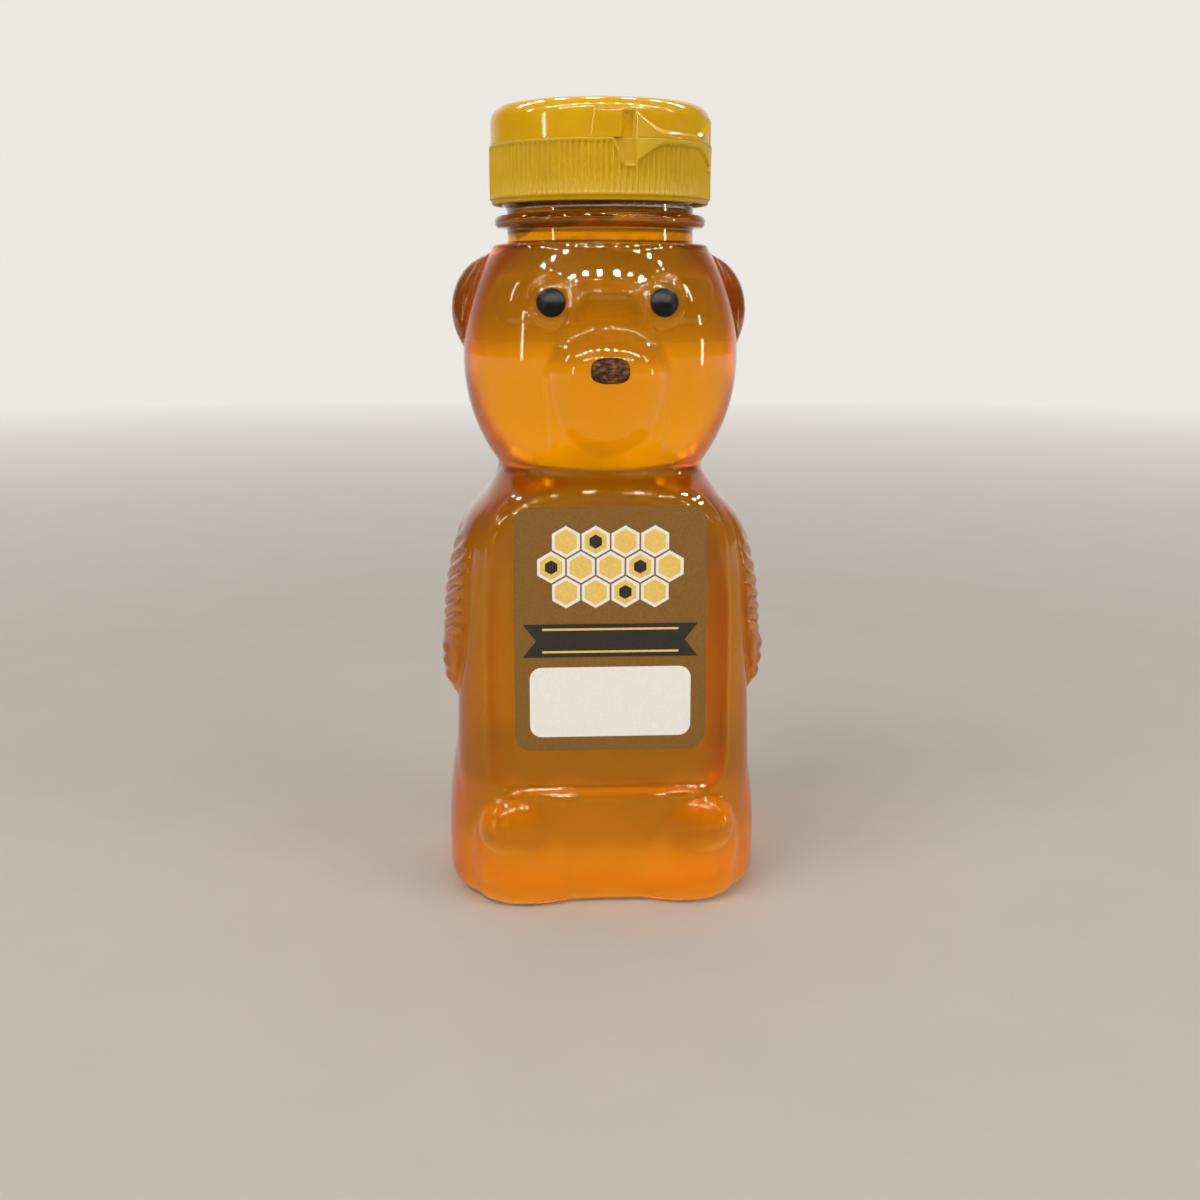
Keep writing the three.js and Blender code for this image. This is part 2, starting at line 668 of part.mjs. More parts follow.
function flipLid() {
  const pinRadius = spoutRadius - PIN_PLAY;
  const pinEnd = spoutTop - PIN_REACH;
  const shell = solid(lathe([
    [0, pinEnd],
    [pinRadius - PIN_PLAY, pinEnd],
    [pinRadius, pinEnd + PIN_PLAY],
    [pinRadius, lidUnder],
    [lidBore - LID_WALL, lidUnder],
    [lidBore, lidUnder - LID_WALL],
    [lidBore, lidBottom],
    [lidRadius, lidBottom],
    ...arc(lidRadius - LID_EDGE, lidTop - LID_EDGE, LID_EDGE, 0, 90, 5),
    [0, lidTop],
  ]));
  const lip = hoop(lidBore, lidRadius + LIP_REACH, lidBottom, lidBottom + LIP_HEIGHT)
    .intersect(block(-LIP_WIDTH / 2, LIP_WIDTH / 2, lidBottom, lidTop, -lidRadius * 2, 0));
  const body = shell
    .subtract(notches(lidRadius, lidBottom, 1, LID_NOTCH_WIDTH, LID_NOTCH_WIDTH))
    .add(wings(lidRadius, lidBottom, 1))
    .add(lip);
  return piece('flip_lid', geometryOf(body), { color: '#e0ac16', roughness: 0.22, metalness: 0 });
}

function closure() {
  const group = new THREE.Group();
  group.add(closureBase(), flipLid());
  group.rotation.z = radians(HINGE_AZIMUTH - 90);
  return group;
}

// The whole bear, centred over the origin by its bounding box

const bear = new THREE.Group();
bear.add(
  bottle(),
  honeyFill(),
  frontLabel(),
  eye('eye_left', -1),
  eye('eye_right', 1),
  nosePad(),
  neckGasket(),
  closure(),
);
bear.updateMatrixWorld(true);
const box = new THREE.Box3().setFromObject(bear, true);
bear.position.y = -(box.min.y + box.max.y) / 2;

const part = new THREE.Group();
part.name = 'honey_bear_bottle';
part.add(bear);

export default part;
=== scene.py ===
import math
from math import radians

import bpy
import numpy as np
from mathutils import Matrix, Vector


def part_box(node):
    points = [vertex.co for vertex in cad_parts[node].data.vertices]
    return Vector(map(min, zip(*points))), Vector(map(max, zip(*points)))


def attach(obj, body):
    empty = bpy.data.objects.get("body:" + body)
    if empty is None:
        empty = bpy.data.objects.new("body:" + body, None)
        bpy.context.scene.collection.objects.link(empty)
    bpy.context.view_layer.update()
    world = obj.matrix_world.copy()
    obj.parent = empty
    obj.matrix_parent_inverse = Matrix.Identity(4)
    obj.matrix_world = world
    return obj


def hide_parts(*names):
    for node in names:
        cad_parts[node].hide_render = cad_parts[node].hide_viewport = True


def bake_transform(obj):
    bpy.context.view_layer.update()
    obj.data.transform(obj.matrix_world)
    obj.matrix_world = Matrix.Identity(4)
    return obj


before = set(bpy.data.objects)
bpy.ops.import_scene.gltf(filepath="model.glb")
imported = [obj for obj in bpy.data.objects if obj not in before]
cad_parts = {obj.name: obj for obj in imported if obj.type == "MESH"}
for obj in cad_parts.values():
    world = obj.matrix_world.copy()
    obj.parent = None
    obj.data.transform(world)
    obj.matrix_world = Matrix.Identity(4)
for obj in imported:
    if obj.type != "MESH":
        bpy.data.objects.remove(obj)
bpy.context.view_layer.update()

# Lengths are in millimetres until a mesh is made. Azimuths run from the bear's front towards +X.
MM = 0.001


def millimetres(node):
    low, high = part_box(node)
    return np.array(low) / MM, np.array(high) / MM


# Places that the frame gives
gasket_low, gasket_high = millimetres("neck_gasket")
base_low, base_high = millimetres("closure_base")
lid_low, lid_high = millimetres("flip_lid")
label_low, label_high = millimetres("front_label")
AXIS_Y = (gasket_low[1] + gasket_high[1]) / 2
LIP_TOP = millimetres("bottle")[1][2]
HONEY_TOP = millimetres("honey_fill")[1][2]

# Body of the bear: shares of the height, of half the width and of half the depth
BODY_HEIGHT = 81
BODY_WIDTH = 57.2
BODY_DEPTH = 50
BODY_BACK_POWER = 3
STATION_SHARE = np.array([0, 0.12, 0.3, 0.55, 0.8, 0.89, 0.95, 1, 1.06])
STATION_SIDE = np.array([0.993, 1, 0.99, 0.969, 0.93, 0.874, 0.755, 0.661, 0.542])
STATION_FRONT = np.array([0.916, 0.956, 1.016, 1.04, 1.04, 1.032, 0.984, 0.728, 0.54])
STATION_BACK = np.array([0.904, 0.936, 0.952, 0.944, 0.912, 0.864, 0.792, 0.704, 0.58])
STATION_POWER = np.array([4, 4, 4, 4, 4, 3.7, 3, 2.2, 2.1])
CREASE_BLEND = 1.6
HEEL_RADIUS = 3.6
STAND_WIDTH = 3.4
PUSH_UP = 2.5

# Flat belly panel
PANEL_REACH = 23
PANEL_WIDTH = 43.4
PANEL_BOTTOM = 22.8
PANEL_CORNER = 5.5
PANEL_FLANK = 2.6
PANEL_BLEND = 0.5
PANEL_TOP = 78.3
BEAD_PROUD = 0.35
BEAD_WIDTH = 0.55

# Limbs
FOOT_AZIMUTH = 36
FOOT_SPREAD = 18
FOOT_HEIGHT = 22
FOOT_KNEE = 14
FOOT_PROUD = 2.8
KNEE_RISE = 16
KNEE_RADIUS = 5.3
KNEE_PROUD = 2.1
HAUNCH_AZIMUTH = 92
HAUNCH_SPREAD = 40
HAUNCH_HEIGHT = 27
HAUNCH_PROUD = 1.6
ARM_AZIMUTH = 84
ARM_SPREAD = 31
ARM_FRONT_EDGE = 0.45
ARM_REAR_EDGE = 1.2
ARM_TIP = 36.6
ARM_ELBOW = 51
ARM_SHOULDER = 76
ARM_PROUD = 3.07
FUR_DEPTH = 1.1
FUR_SLOPE = 0.35
FUR_LOW = 48
FUR_HIGH = 73
FUR_FINE = 1.5
FUR_COARSE = 3.2
FUR_ROUNDNESS = 0.6
KNUCKLE_HEIGHTS = (41.6, 44.6, 47.4)
KNUCKLE_AZIMUTH = 70
KNUCKLE_RADIUS = 1.5
KNUCKLE_HALF_WIDTH = 1.9 * KNUCKLE_RADIUS
KNUCKLE_PROUD = 0.6

# Head
HEAD_HEIGHT = 40.3
HEAD_WAIST = 20.5
HEAD_WIDTH = 51.8
HEAD_DEPTH = 48.4
HEAD_UPPER = 31.5
HEAD_LOWER = 30
HEAD_POWER = 2.15
EAR_AZIMUTH = 98
EAR_SPREAD = 12.5
EAR_REAR_SPREAD = 30
EAR_RISE = 29.2
EAR_HALF_HEIGHT = 10.2
EAR_ROOT = 19.5
EAR_HALF_WIDTH = 8.8
MUZZLE_RISE = 18.2
MUZZLE_PROUD = 4.9
MUZZLE_UPPER = 8
MUZZLE_LOWER = 15
MUZZLE_HALF_WIDTH = 9.8
BRIDGE_PROUD = 1.3
BRIDGE_EDGE = 1.8
BRIDGE_TOP = 33.6
BRIDGE_CORNER = 3.4
BRIDGE_RISES = (0, 5, 18, 30.6, 34.7)
BRIDGE_HALF_WIDTHS = (9, 10, 10.8, 6, 6.4)
BROW_START = 27
BROW_INSET = 1.2
BROW_WIDTH = 1.1
BROW_PROUD = 0.55
MASK_SPACING = 13.6
MASK_RISE = 31.4
MASK_HALF_WIDTH = 6.2
MASK_HALF_HEIGHT = 4.6
MASK_PROUD = 0.45
EYE_SPACING = 19.8
EYE_RISE = 30.6
EYE_RADIUS = 2.55
EYE_DOME = 1.05
EYE_EDGE = 0.25
SOCKET_HALF_WIDTH = 3.5
SOCKET_HALF_HEIGHT = 4.3
SOCKET_PROUD = 0.85
NOSE_RISE = 18.9
NOSE_WIDTH = 6.8
NOSE_HEIGHT = 4.5
NOSE_FLAT = 0.8
NOSE_SQUARE = 0.72
NOSE_DOME = 0.05
NOSE_EDGE = 0.16

# Neck finish
HEAD_TOP = BODY_HEIGHT + HEAD_HEIGHT
NECK_RADIUS = 17.4
NECK_LENGTH = 3.6
CROWN_EDGE = 0.6
RING_RADIUS = 19.7
RING_BOTTOM = HEAD_TOP + NECK_LENGTH
RING_TOP = RING_BOTTOM + 2.2
BORE_RADIUS = 15.7
FINISH_WALL = 0.9
THREAD_DEPTH = 1.2
THREAD_PITCH = 4.233
THREAD_START = 2.6
WALL = 0.8
BASE_WALL = 1.2
HONEY_GAP = 0.02
HONEY_DIP = 0.55

# Closure
HINGE_AZIMUTH = 42
PARTING = (base_high[2] - 3.4 + lid_low[2]) / 2
RIM_BOTTOM = base_low[2]
RIM_RADIUS = 20.15
RIM_HEIGHT = 0.8
RIB_RADIUS = 20.55
RIB_DEPTH = 0.42
RIB_COUNT = 120
PLAIN_BAND = 0.55
CLOSURE_BORE = 19.15
DECK_BOTTOM = gasket_high[2] + 0.3
DECK_TOP = DECK_BOTTOM + 1.5
SPOUT_BORE = 3.2
SPOUT_OUTER = 4.5
SPOUT_TOP = base_high[2]
LID_RADIUS = 20.3
LID_TOP = lid_high[2]
LID_WALL = 1.2
LID_EDGE = 2.9
SEAM_GAP = 0.012
SEAM_EDGE = 0.04
WING_RADIUS = 20.95
WAIST_WIDTH = 9
WAIST_HEIGHT = 2.2
WING_WIDTH = 5.5
WING_DEPTH = 4.4
WING_DISH = 0.35
LID_NOTCH_WIDTH = 2.8
BASE_NOTCH_WIDTH = 4
BASE_NOTCH_END = 1.8
NOTCH_DEPTH = 0.7
NOTCH_BORDER = 0.6
NOTCH_PROUD = 0.12
PANEL_STEP = 0.2
LIP_WIDTH = 13
LIP_HEIGHT = 1.7
LIP_REACH = 1.4
GRIP_HEIGHT = 3.2
GRIP_DEPTH = 0.45
GASKET_WIDTH = 4


# Shape helpers


def hump(squared, power):
    return np.maximum(1 - squared, 0) ** power


def smooth_max(a, b, blend):
    near = np.maximum(blend - np.abs(a - b), 0) / blend
    return np.maximum(a, b) + near * near * blend / 4


def smooth_min(a, b, blend):
    return -smooth_max(-a, -b, blend)


def ease(value):
    t = np.clip(value, 0, 1)
    return t * t * (3 - 2 * t)


def steps(start, stop, step):
    count = max(int(math.ceil((stop - start) / step - 1e-6)), 1)
    return np.linspace(start, stop, count + 1)


def graded(marks, sizes):
    """Values from the first mark to before the last, each stretch in steps of its own size."""
    return np.concatenate([steps(a, b, size)[:-1] for a, b, size in zip(marks, marks[1:], sizes)])


def natural_cubic(knots, values, at):
    """Piecewise cubic through the values, with straight ends."""
    last = len(knots) - 2
    i = np.clip(np.searchsorted(knots, at, side="right") - 1, 0, last)
    before = np.where(i == 0, 1, i - 1)
    after = np.where(i == last, last, np.minimum(i + 2, last + 1))
    t0 = knots[i]
    t1 = knots[i + 1]
    half = (t1 - t0) / 2
    w0 = half / (t0 - knots[before])
    w1 = half / (knots[after] - t1)
    p = (at - t0) / (t1 - t0)
    return (
        (-w0 * p**3 + 2 * w0 * p**2 - w0 * p) * values[before]
        + ((1 + w0) * p**3 - (1.5 + 2 * w0) * p**2 + (w0 - 0.5) * p + 1) * values[i]
        + (-(1 + w1) * p**3 + (1.5 + w1) * p**2 + 0.5 * p) * values[i + 1]
        + (w1 * p**3 - w1 * p**2) * values[after]
    )


# Outside of the bear, as a distance from the neck's axis


def outline(azimuth, side, along, power):
    across = (np.abs(np.sin(azimuth)) / side) ** power
    return (across + (np.abs(np.cos(azimuth)) / along) ** power) ** (-1 / power)


def rounded_distance(across, upward, corner):
    """Distance outside a rounded corner, negative inside it."""
    beyond = np.hypot(np.maximum(across, 0), np.maximum(upward, 0))
    return beyond + np.minimum(np.maximum(across, upward), 0) - corner


def panel_limit(azimuth, height):
    cosine = np.maximum(np.cos(azimuth), 0.05)
    sideways = PANEL_REACH * np.abs(np.sin(azimuth)) / cosine - (PANEL_WIDTH / 2 - PANEL_CORNER)
    downward = PANEL_BOTTOM + PANEL_CORNER - height
    outside = rounded_distance(sideways, downward, PANEL_CORNER)
    return (PANEL_REACH + np.maximum(outside, 0) * PANEL_FLANK) / cosine


def panel_bead(azimuth, height):
    """A low rounded bead along the panel's edge."""
    sideways = PANEL_REACH * np.abs(np.tan(azimuth)) - (PANEL_WIDTH / 2 - PANEL_CORNER)
    middle = (PANEL_TOP + PANEL_BOTTOM) / 2
    upright = np.abs(height - middle) - (PANEL_TOP - middle - PANEL_CORNER)
    outside = rounded_distance(sideways, upright, PANEL_CORNER)
    bead = BEAD_PROUD * np.exp(-((outside / BEAD_WIDTH - 0.7) ** 2))
    return np.where(np.cos(azimuth) > 0.1, bead, 0)


def body_radius(azimuth, height):
    level = np.minimum(height / BODY_HEIGHT, STATION_SHARE[-1])
    side, front, back, power = (
        natural_cubic(STATION_SHARE, values, level)
        for values in (STATION_SIDE, STATION_FRONT, STATION_BACK, STATION_POWER)
    )
    across = side * BODY_WIDTH / 2
    behind = outline(azimuth, across, back * BODY_DEPTH / 2, np.minimum(power, BODY_BACK_POWER))
    ahead = outline(azimuth, across, front * BODY_DEPTH / 2, power)
    ahead = smooth_min(ahead, panel_limit(azimuth, height), PANEL_BLEND) + panel_bead(azimuth, height)
    return np.where(np.cos(azimuth) <= 0, behind, ahead)


def head_radius(azimuth, height):
    rise = height - BODY_HEIGHT - HEAD_WAIST
    share = np.minimum(np.abs(rise) / np.where(rise > 0, HEAD_UPPER, HEAD_LOWER), 0.999)
    return outline(azimuth, HEAD_WIDTH / 2, HEAD_DEPTH / 2, HEAD_POWER) * np.sqrt(1 - share**2)


def fur(turn, height, arm):
    """Slanting ridges over an arm, finer towards the elbow, and knuckles over its tip."""
    arc = (turn - radians(ARM_AZIMUTH)) * BODY_WIDTH / 2
    along = np.clip(height + FUR_SLOPE * arc, FUR_LOW - 6, FUR_HIGH + 6)
    growth = (FUR_COARSE - FUR_FINE) / (FUR_HIGH - FUR_LOW)
    phase = np.log(FUR_FINE + growth * (along - FUR_LOW + 8)) / growth
    ridge = np.abs(np.sin(np.pi * phase)) ** FUR_ROUNDNESS - 1
    reach = ease((height - FUR_LOW) / 4) * ease((FUR_HIGH - height) / 5)
    grown = FUR_DEPTH * ridge * reach * ease(arm / ARM_PROUD * 2.2 - 0.35)
    aside = (turn - radians(KNUCKLE_AZIMUTH)) * BODY_WIDTH / 2 / KNUCKLE_HALF_WIDTH
    for knuckle in KNUCKLE_HEIGHTS:
        bump = hump(aside**2 + ((height - knuckle) / KNUCKLE_RADIUS) ** 2, 0.8)
        grown = grown + KNUCKLE_PROUD * bump * ease(arm / ARM_PROUD * 2)
    return grown


def aside(turn, middle, spread):
    return (turn - radians(middle)) / radians(spread)


def limb_proud(azimuth, height):
    turn = np.abs(azimuth)
    knee = np.maximum(height - (FOOT_HEIGHT - FOOT_KNEE), 0) / FOOT_KNEE
    foot_turn = aside(turn, FOOT_AZIMUTH, FOOT_SPREAD)
    haunch_turn = aside(turn, HAUNCH_AZIMUTH, HAUNCH_SPREAD)
    haunch_rise = np.maximum(height - HAUNCH_HEIGHT / 3, 0) / (HAUNCH_HEIGHT * 2 / 3)
    along = np.clip((height - ARM_TIP) / (ARM_SHOULDER - ARM_TIP), 0, 1)
    spread = radians(ARM_SPREAD) * np.sqrt(1 - (1 - along) ** 4) + 1e-6
    across = (turn - radians(ARM_AZIMUTH)) / spread
    above = np.maximum(height - ARM_ELBOW, 0) / (ARM_SHOULDER - ARM_ELBOW)
    below = np.maximum(ARM_ELBOW - height, 0) / (ARM_ELBOW - ARM_TIP)
    arm = ARM_PROUD * hump(above**2, 1) * hump(below**3.5, 1)
    arm = arm * hump(across**2, np.where(across < 0, ARM_FRONT_EDGE, ARM_REAR_EDGE))
    cap_turn = (turn - radians(FOOT_AZIMUTH)) * BODY_DEPTH / 2 / KNEE_RADIUS
    cap_rise = (height - KNEE_RISE) / KNEE_RADIUS
    return (
        FOOT_PROUD * hump(foot_turn**2 + knee**2, 1.1)
        + KNEE_PROUD * hump(cap_turn**2 + cap_rise**2, 0.85)
        + HAUNCH_PROUD * hump(haunch_turn**2 + haunch_rise**2, 0.9)
        + arm
        + fur(turn, height, arm)
    )


def ear_proud(azimuth, height, base):
    rise = (height - BODY_HEIGHT - EAR_RISE) / EAR_HALF_HEIGHT
    reach = EAR_ROOT + EAR_HALF_WIDTH * np.sqrt(np.maximum(1 - rise**2, 0))
    turn = np.abs(azimuth) - radians(EAR_AZIMUTH)
    across = turn / np.radians(np.where(turn < 0, EAR_SPREAD, EAR_REAR_SPREAD))
    return np.maximum(reach - base, 0) * hump(across**2, np.where(turn < 0, 0.6, 1))


def bridge_distance(sideways, rise):
    """Distance outside the arched outline of the bridge of the nose."""
    across = sideways - np.interp(rise, BRIDGE_RISES, BRIDGE_HALF_WIDTHS) + BRIDGE_CORNER
    return rounded_distance(across, rise - BRIDGE_TOP + BRIDGE_CORNER, BRIDGE_CORNER)


def face_proud(azimuth, height, base):
    sideways = np.abs(base * np.sin(azimuth))
    rise = height - BODY_HEIGHT
    tip = rise - MUZZLE_RISE
    climb = np.where(tip > 0, tip / MUZZLE_UPPER, tip / MUZZLE_LOWER)
    muzzle = MUZZLE_PROUD * hump(climb**2 + (sideways / MUZZLE_HALF_WIDTH) ** 2, 0.9)
    outside = bridge_distance(sideways, rise)
    bridge = BRIDGE_PROUD * ease(0.5 - outside / BRIDGE_EDGE) * ease(rise / 8)
    ridge = np.exp(-(((outside + BROW_INSET) / BROW_WIDTH) ** 2))
    brow = BROW_PROUD * ridge * ease((rise - BROW_START) / 4)
    mask_turn = ((sideways - MASK_SPACING) / MASK_HALF_WIDTH) ** 4
    mask = MASK_PROUD * hump(mask_turn + ((rise - MASK_RISE) / MASK_HALF_HEIGHT) ** 4, 1.1)
    eye_turn = ((sideways - EYE_SPACING / 2) / SOCKET_HALF_WIDTH) ** 2
    from_eye = np.sqrt(eye_turn + ((rise - EYE_RISE - 0.3) / SOCKET_HALF_HEIGHT) ** 2)
    socket = SOCKET_PROUD * ease((1 - from_eye) * 4.5 + 0.5)
    return np.where(np.cos(azimuth) > 0, muzzle + bridge + brow + mask + socket, 0)


def bear_radius(azimuth, height):
    head = head_radius(azimuth, height)
    proud = head + face_proud(azimuth, height, head) + ear_proud(azimuth, height, head)
    body = body_radius(azimuth, height) + limb_proud(azimuth, height)
    return smooth_max(body, proud, CREASE_BLEND)


def cavity_radius(azimuth, height):
    """Inside of the wall, set in further where the outside slopes."""
    step = 0.01
    radius = bear_radius(azimuth, height)

    def slope(turn, rise):
        ways = [bear_radius(azimuth + way * turn, height + way * rise) for way in (step, -step)]
        return np.maximum(*(np.abs(beside - radius) for beside in ways)) / step

    steepness = np.sqrt(1 + slope(0, 1) ** 2 + (slope(1, 0) / radius) ** 2)
    return radius - WALL * np.minimum(steepness, 2)


# Mesh helpers


def around_axis(radius, height, azimuth):
    """Points at a radius and a height round the neck's axis."""
    radius, height, azimuth = np.broadcast_arrays(radius, height, azimuth)
    return np.stack([radius * np.sin(azimuth), AXIS_Y - radius * np.cos(azimuth), height], axis=-1)


def column(values):
    return np.asarray(values, float).reshape(-1, 1)


def turned(profile, azimuth):
    """Rings round the neck's axis, one for each radius and height of a profile."""
    radii, heights = zip(*profile)
    return around_axis(column(radii), column(heights), azimuth)


def arc_profile(centre_r, centre_z, radius, start, stop, count, rise=None):
    """Points along an arc, of another radius upwards where a rise is given."""
    tall = radius if rise is None else rise
    angles = np.radians(np.linspace(start, stop, count))
    return [(centre_r + radius * math.cos(a), centre_z + tall * math.sin(a)) for a in angles]


def ring_faces(low, high, count):
    here = np.arange(count)
    there = (here + 1) % count
    return np.stack([low + here, low + there, high + there, high + here], axis=1).tolist()


def fan_faces(centre, ring, count, up):
    here = np.arange(count)
    there = (here + 1) % count
    centres = np.full(count, centre)
    order = [ring + here, ring + there, centres] if up else [ring + there, ring + here, centres]
    return np.stack(order, axis=1).tolist()


def skin(rows, start=None, end=None, wrap=False):
    """Closed skin over rings of points: ends in points, or runs round to the first ring."""
    rows = np.asarray(rows, float)
    count = rows.shape[1]
    points = rows.reshape(-1, 3)
    faces = []
    for i in range(len(rows) - 1):
        faces += ring_faces(i * count, (i + 1) * count, count)
    if wrap:
        faces += ring_faces((len(rows) - 1) * count, 0, count)
    if start is not None:
        points = np.vstack([points, start])
        faces += fan_faces(len(points) - 1, 0, count, False)
    if end is not None:
        points = np.vstack([points, end])
        faces += fan_faces(len(points) - 1, (len(rows) - 1) * count, count, True)
    return points, faces


def joined(meshes):
    """One mesh made of several."""
    faces = []
    start = 0
    for points, own_faces in meshes:
        faces += [[i + start for i in face] for face in own_faces]
        start += len(points)
    return np.vstack([points for points, own_faces in meshes]), faces


def make_piece(name, points, faces, materials, slots=None, smooth=True):
    mesh = bpy.data.meshes.new(name)
    mesh.from_pydata((np.asarray(points) * MM).tolist(), [], faces)
    for material in materials:
        mesh.materials.append(material)
    if slots is not None:
        mesh.polygons.foreach_set("material_index", np.asarray(slots, np.int32))
    mesh.polygons.foreach_set("use_smooth", np.full(len(mesh.polygons), smooth))
    mesh.update()
    piece = bpy.data.objects.new(name, mesh)
    bpy.context.scene.collection.objects.link(piece)
    return piece


def add_piece(name, mesh, materials, body, slot, *nodes, **look):
    """A piece that rides on a body and stands for its nodes; the slot is not used."""
    piece = make_piece(name, *mesh, materials, **look)
    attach(piece, body)
    if nodes:
        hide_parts(*nodes)


# Material helpers


class Nodes:
    """A node tree, with short ways to add to it."""

    def __init__(self, tree):
        self.tree = tree

    def add(self, kind, sockets=None, **settings):
        made = self.tree.nodes.new(kind)
        for key, value in settings.items():
            setattr(made, key, value)
        for key, value in (sockets or {}).items():
            made.inputs[key].default_value = value
        return made

    def link(self, output, node, socket):
        self.tree.links.new(output, node.inputs[socket])

    def math(self, operation, *terms):
        made = self.add("ShaderNodeMath", operation=operation)
        for i, term in enumerate(terms):
            self.link(term, made, i)
        return made.outputs[0]

    def mix(self, factor, first, second):
        made = self.add("ShaderNodeMixShader")
        for i, output in enumerate((factor, first.outputs[0], second.outputs[0])):
            self.link(output, made, i)
        return made

    def ramp(self, factor, *stops, kind="LINEAR"):
        made = self.add("ShaderNodeValToRGB")
        made.color_ramp.interpolation = kind
        elements = made.color_ramp.elements
        while len(elements) < len(stops):
            elements.new(0.5)
        for element, (place, colour) in zip(elements, stops):
            element.position = place
            element.color = (*colour, 1)
        self.link(factor, made, "Fac")
        return made.outputs["Color"]


class Shader(Nodes):
    """A material with one Principled shader."""

    def __init__(self, name, **values):
        self.material = bpy.data.materials.new(name)
        self.material.use_nodes = True
        super().__init__(self.material.node_tree)
        self.principled = self.tree.nodes["Principled BSDF"]
        self.output = self.tree.nodes["Material Output"]
        self.place = self.add("ShaderNodeTexCoord").outputs["Object"]
        for key, value in values.items():
            self.principled.inputs[key.replace("_", " ")].default_value = value

    def noise(self, scale, detail=4, roughness=0.55, stretch=(1, 1, 1)):
        mapping = self.add("ShaderNodeMapping", {"Scale": stretch})
        self.link(self.place, mapping, "Vector")
        made = self.add("ShaderNodeTexNoise", {"Scale": scale, "Detail": detail, "Roughness": roughness})
        self.link(mapping.outputs["Vector"], made, "Vector")
        return made.outputs["Fac"]

    def spread(self, factor, low, high, start=0.3, stop=0.7):
        limits = {"From Min": start, "From Max": stop, "To Min": low, "To Max": high}
        made = self.add("ShaderNodeMapRange", limits)
        self.link(factor, made, "Value")
        return made.outputs["Result"]

    def colour(self, output):
        self.link(output, self.principled, "Base Color")

    def roughness(self, factor, low, high):
        self.link(self.spread(factor, low, high), self.principled, "Roughness")

    def bump(self, height, strength, distance):
        made = self.add("ShaderNodeBump", {"Strength": strength, "Distance": distance})
        self.link(height, made, "Height")
        self.link(made.outputs["Normal"], self.principled, "Normal")


def linear(*display):
    """Linear colour of an 8-bit display colour."""
    return tuple(c / 255 / 12.92 if c <= 10 else ((c / 255 + 0.055) / 1.055) ** 2.4 for c in display)


def speckled(name, scale, dark, light, rough, relief=None, stop=0.7, **values):
    """A material mottled between two display colours by a grain that also varies its gloss."""
    shader = Shader(name, **values)
    grain = shader.noise(scale, detail=3)
    shader.colour(shader.ramp(grain, (0.3, linear(*dark)), (stop, linear(*light))))
    shader.roughness(grain, *rough)
    if relief:
        shader.bump(grain, *relief)
    return shader.material


# Materials

CLEAR_IOR = 1.45
WARM_GLOSS = (0.9, 0.78, 0.55, 1)


def clear(name, scale, tint, **values):
    """A clear material with a slight haze in its colour, and that haze."""
    shader = Shader(name, Transmission_Weight=1, **values)
    haze = shader.noise(scale, detail=2)
    shader.colour(shader.ramp(haze, (0.3, tint), (0.7, (1, 1, 1))))
    return shader, haze


def clear_plastic():
    shader, haze = clear("clear_plastic", 90, (0.99, 0.985, 0.98), IOR=CLEAR_IOR, Specular_Tint=WARM_GLOSS)
    shader.roughness(haze, 0.04, 0.07)
    shader.bump(shader.noise(140, detail=1), 0.06, 0.0006)
    return shader.material


def base_plastic():
    shader, grain = clear("clear_plastic_base", 800, (0.96, 0.95, 0.94), IOR=CLEAR_IOR)
    shader.roughness(grain, 0.3, 0.5)
    return shader.material


def wetted_wall():
    return clear("clear_plastic_wetted", 90, (0.995, 0.99, 0.985), IOR=1, Roughness=0)[0].material


# Share of the tint along the height, painted light and shade: darker over the shoulders, the crown, the ring
# and under the label, brighter at the feet, the lower head and the neck
HONEY_PAINTED_SHADING = (
    (0, 0.88), (9, 0.9), (17, 0.84), (22.5, 0.76), (25, 0.55), (29, 0.6), (36, 0.84),
    (50, 0.74), (62, 0.72), (76, 0.5), (82, 0.52), (87, 0.94), (98, 0.93), (106, 0.66),
    (115, 0.52), (121, 0.42), (122, 0.86), (124.8, 0.86), (125.4, 0.24), (127, 0.24), (128, 0.6),
)
HONEY_TINT = (1, 0.42, 0.003)
HONEY_ROUGHNESS = ((70, 0.5), (90, 0.3), (118, 0.25), (122, 0.15))
# Painted shade at the sides: share of the tone that is left there, and the distances off the middle between
# which it falls
BODY_SIDE_SHADE = (0.84, 23 * MM, 28 * MM)
HEAD_SIDE_SHADE = (0.6, 20.5 * MM, 26.5 * MM)
SIDE_SHADE_CHANGE = (84 * MM, 94 * MM)


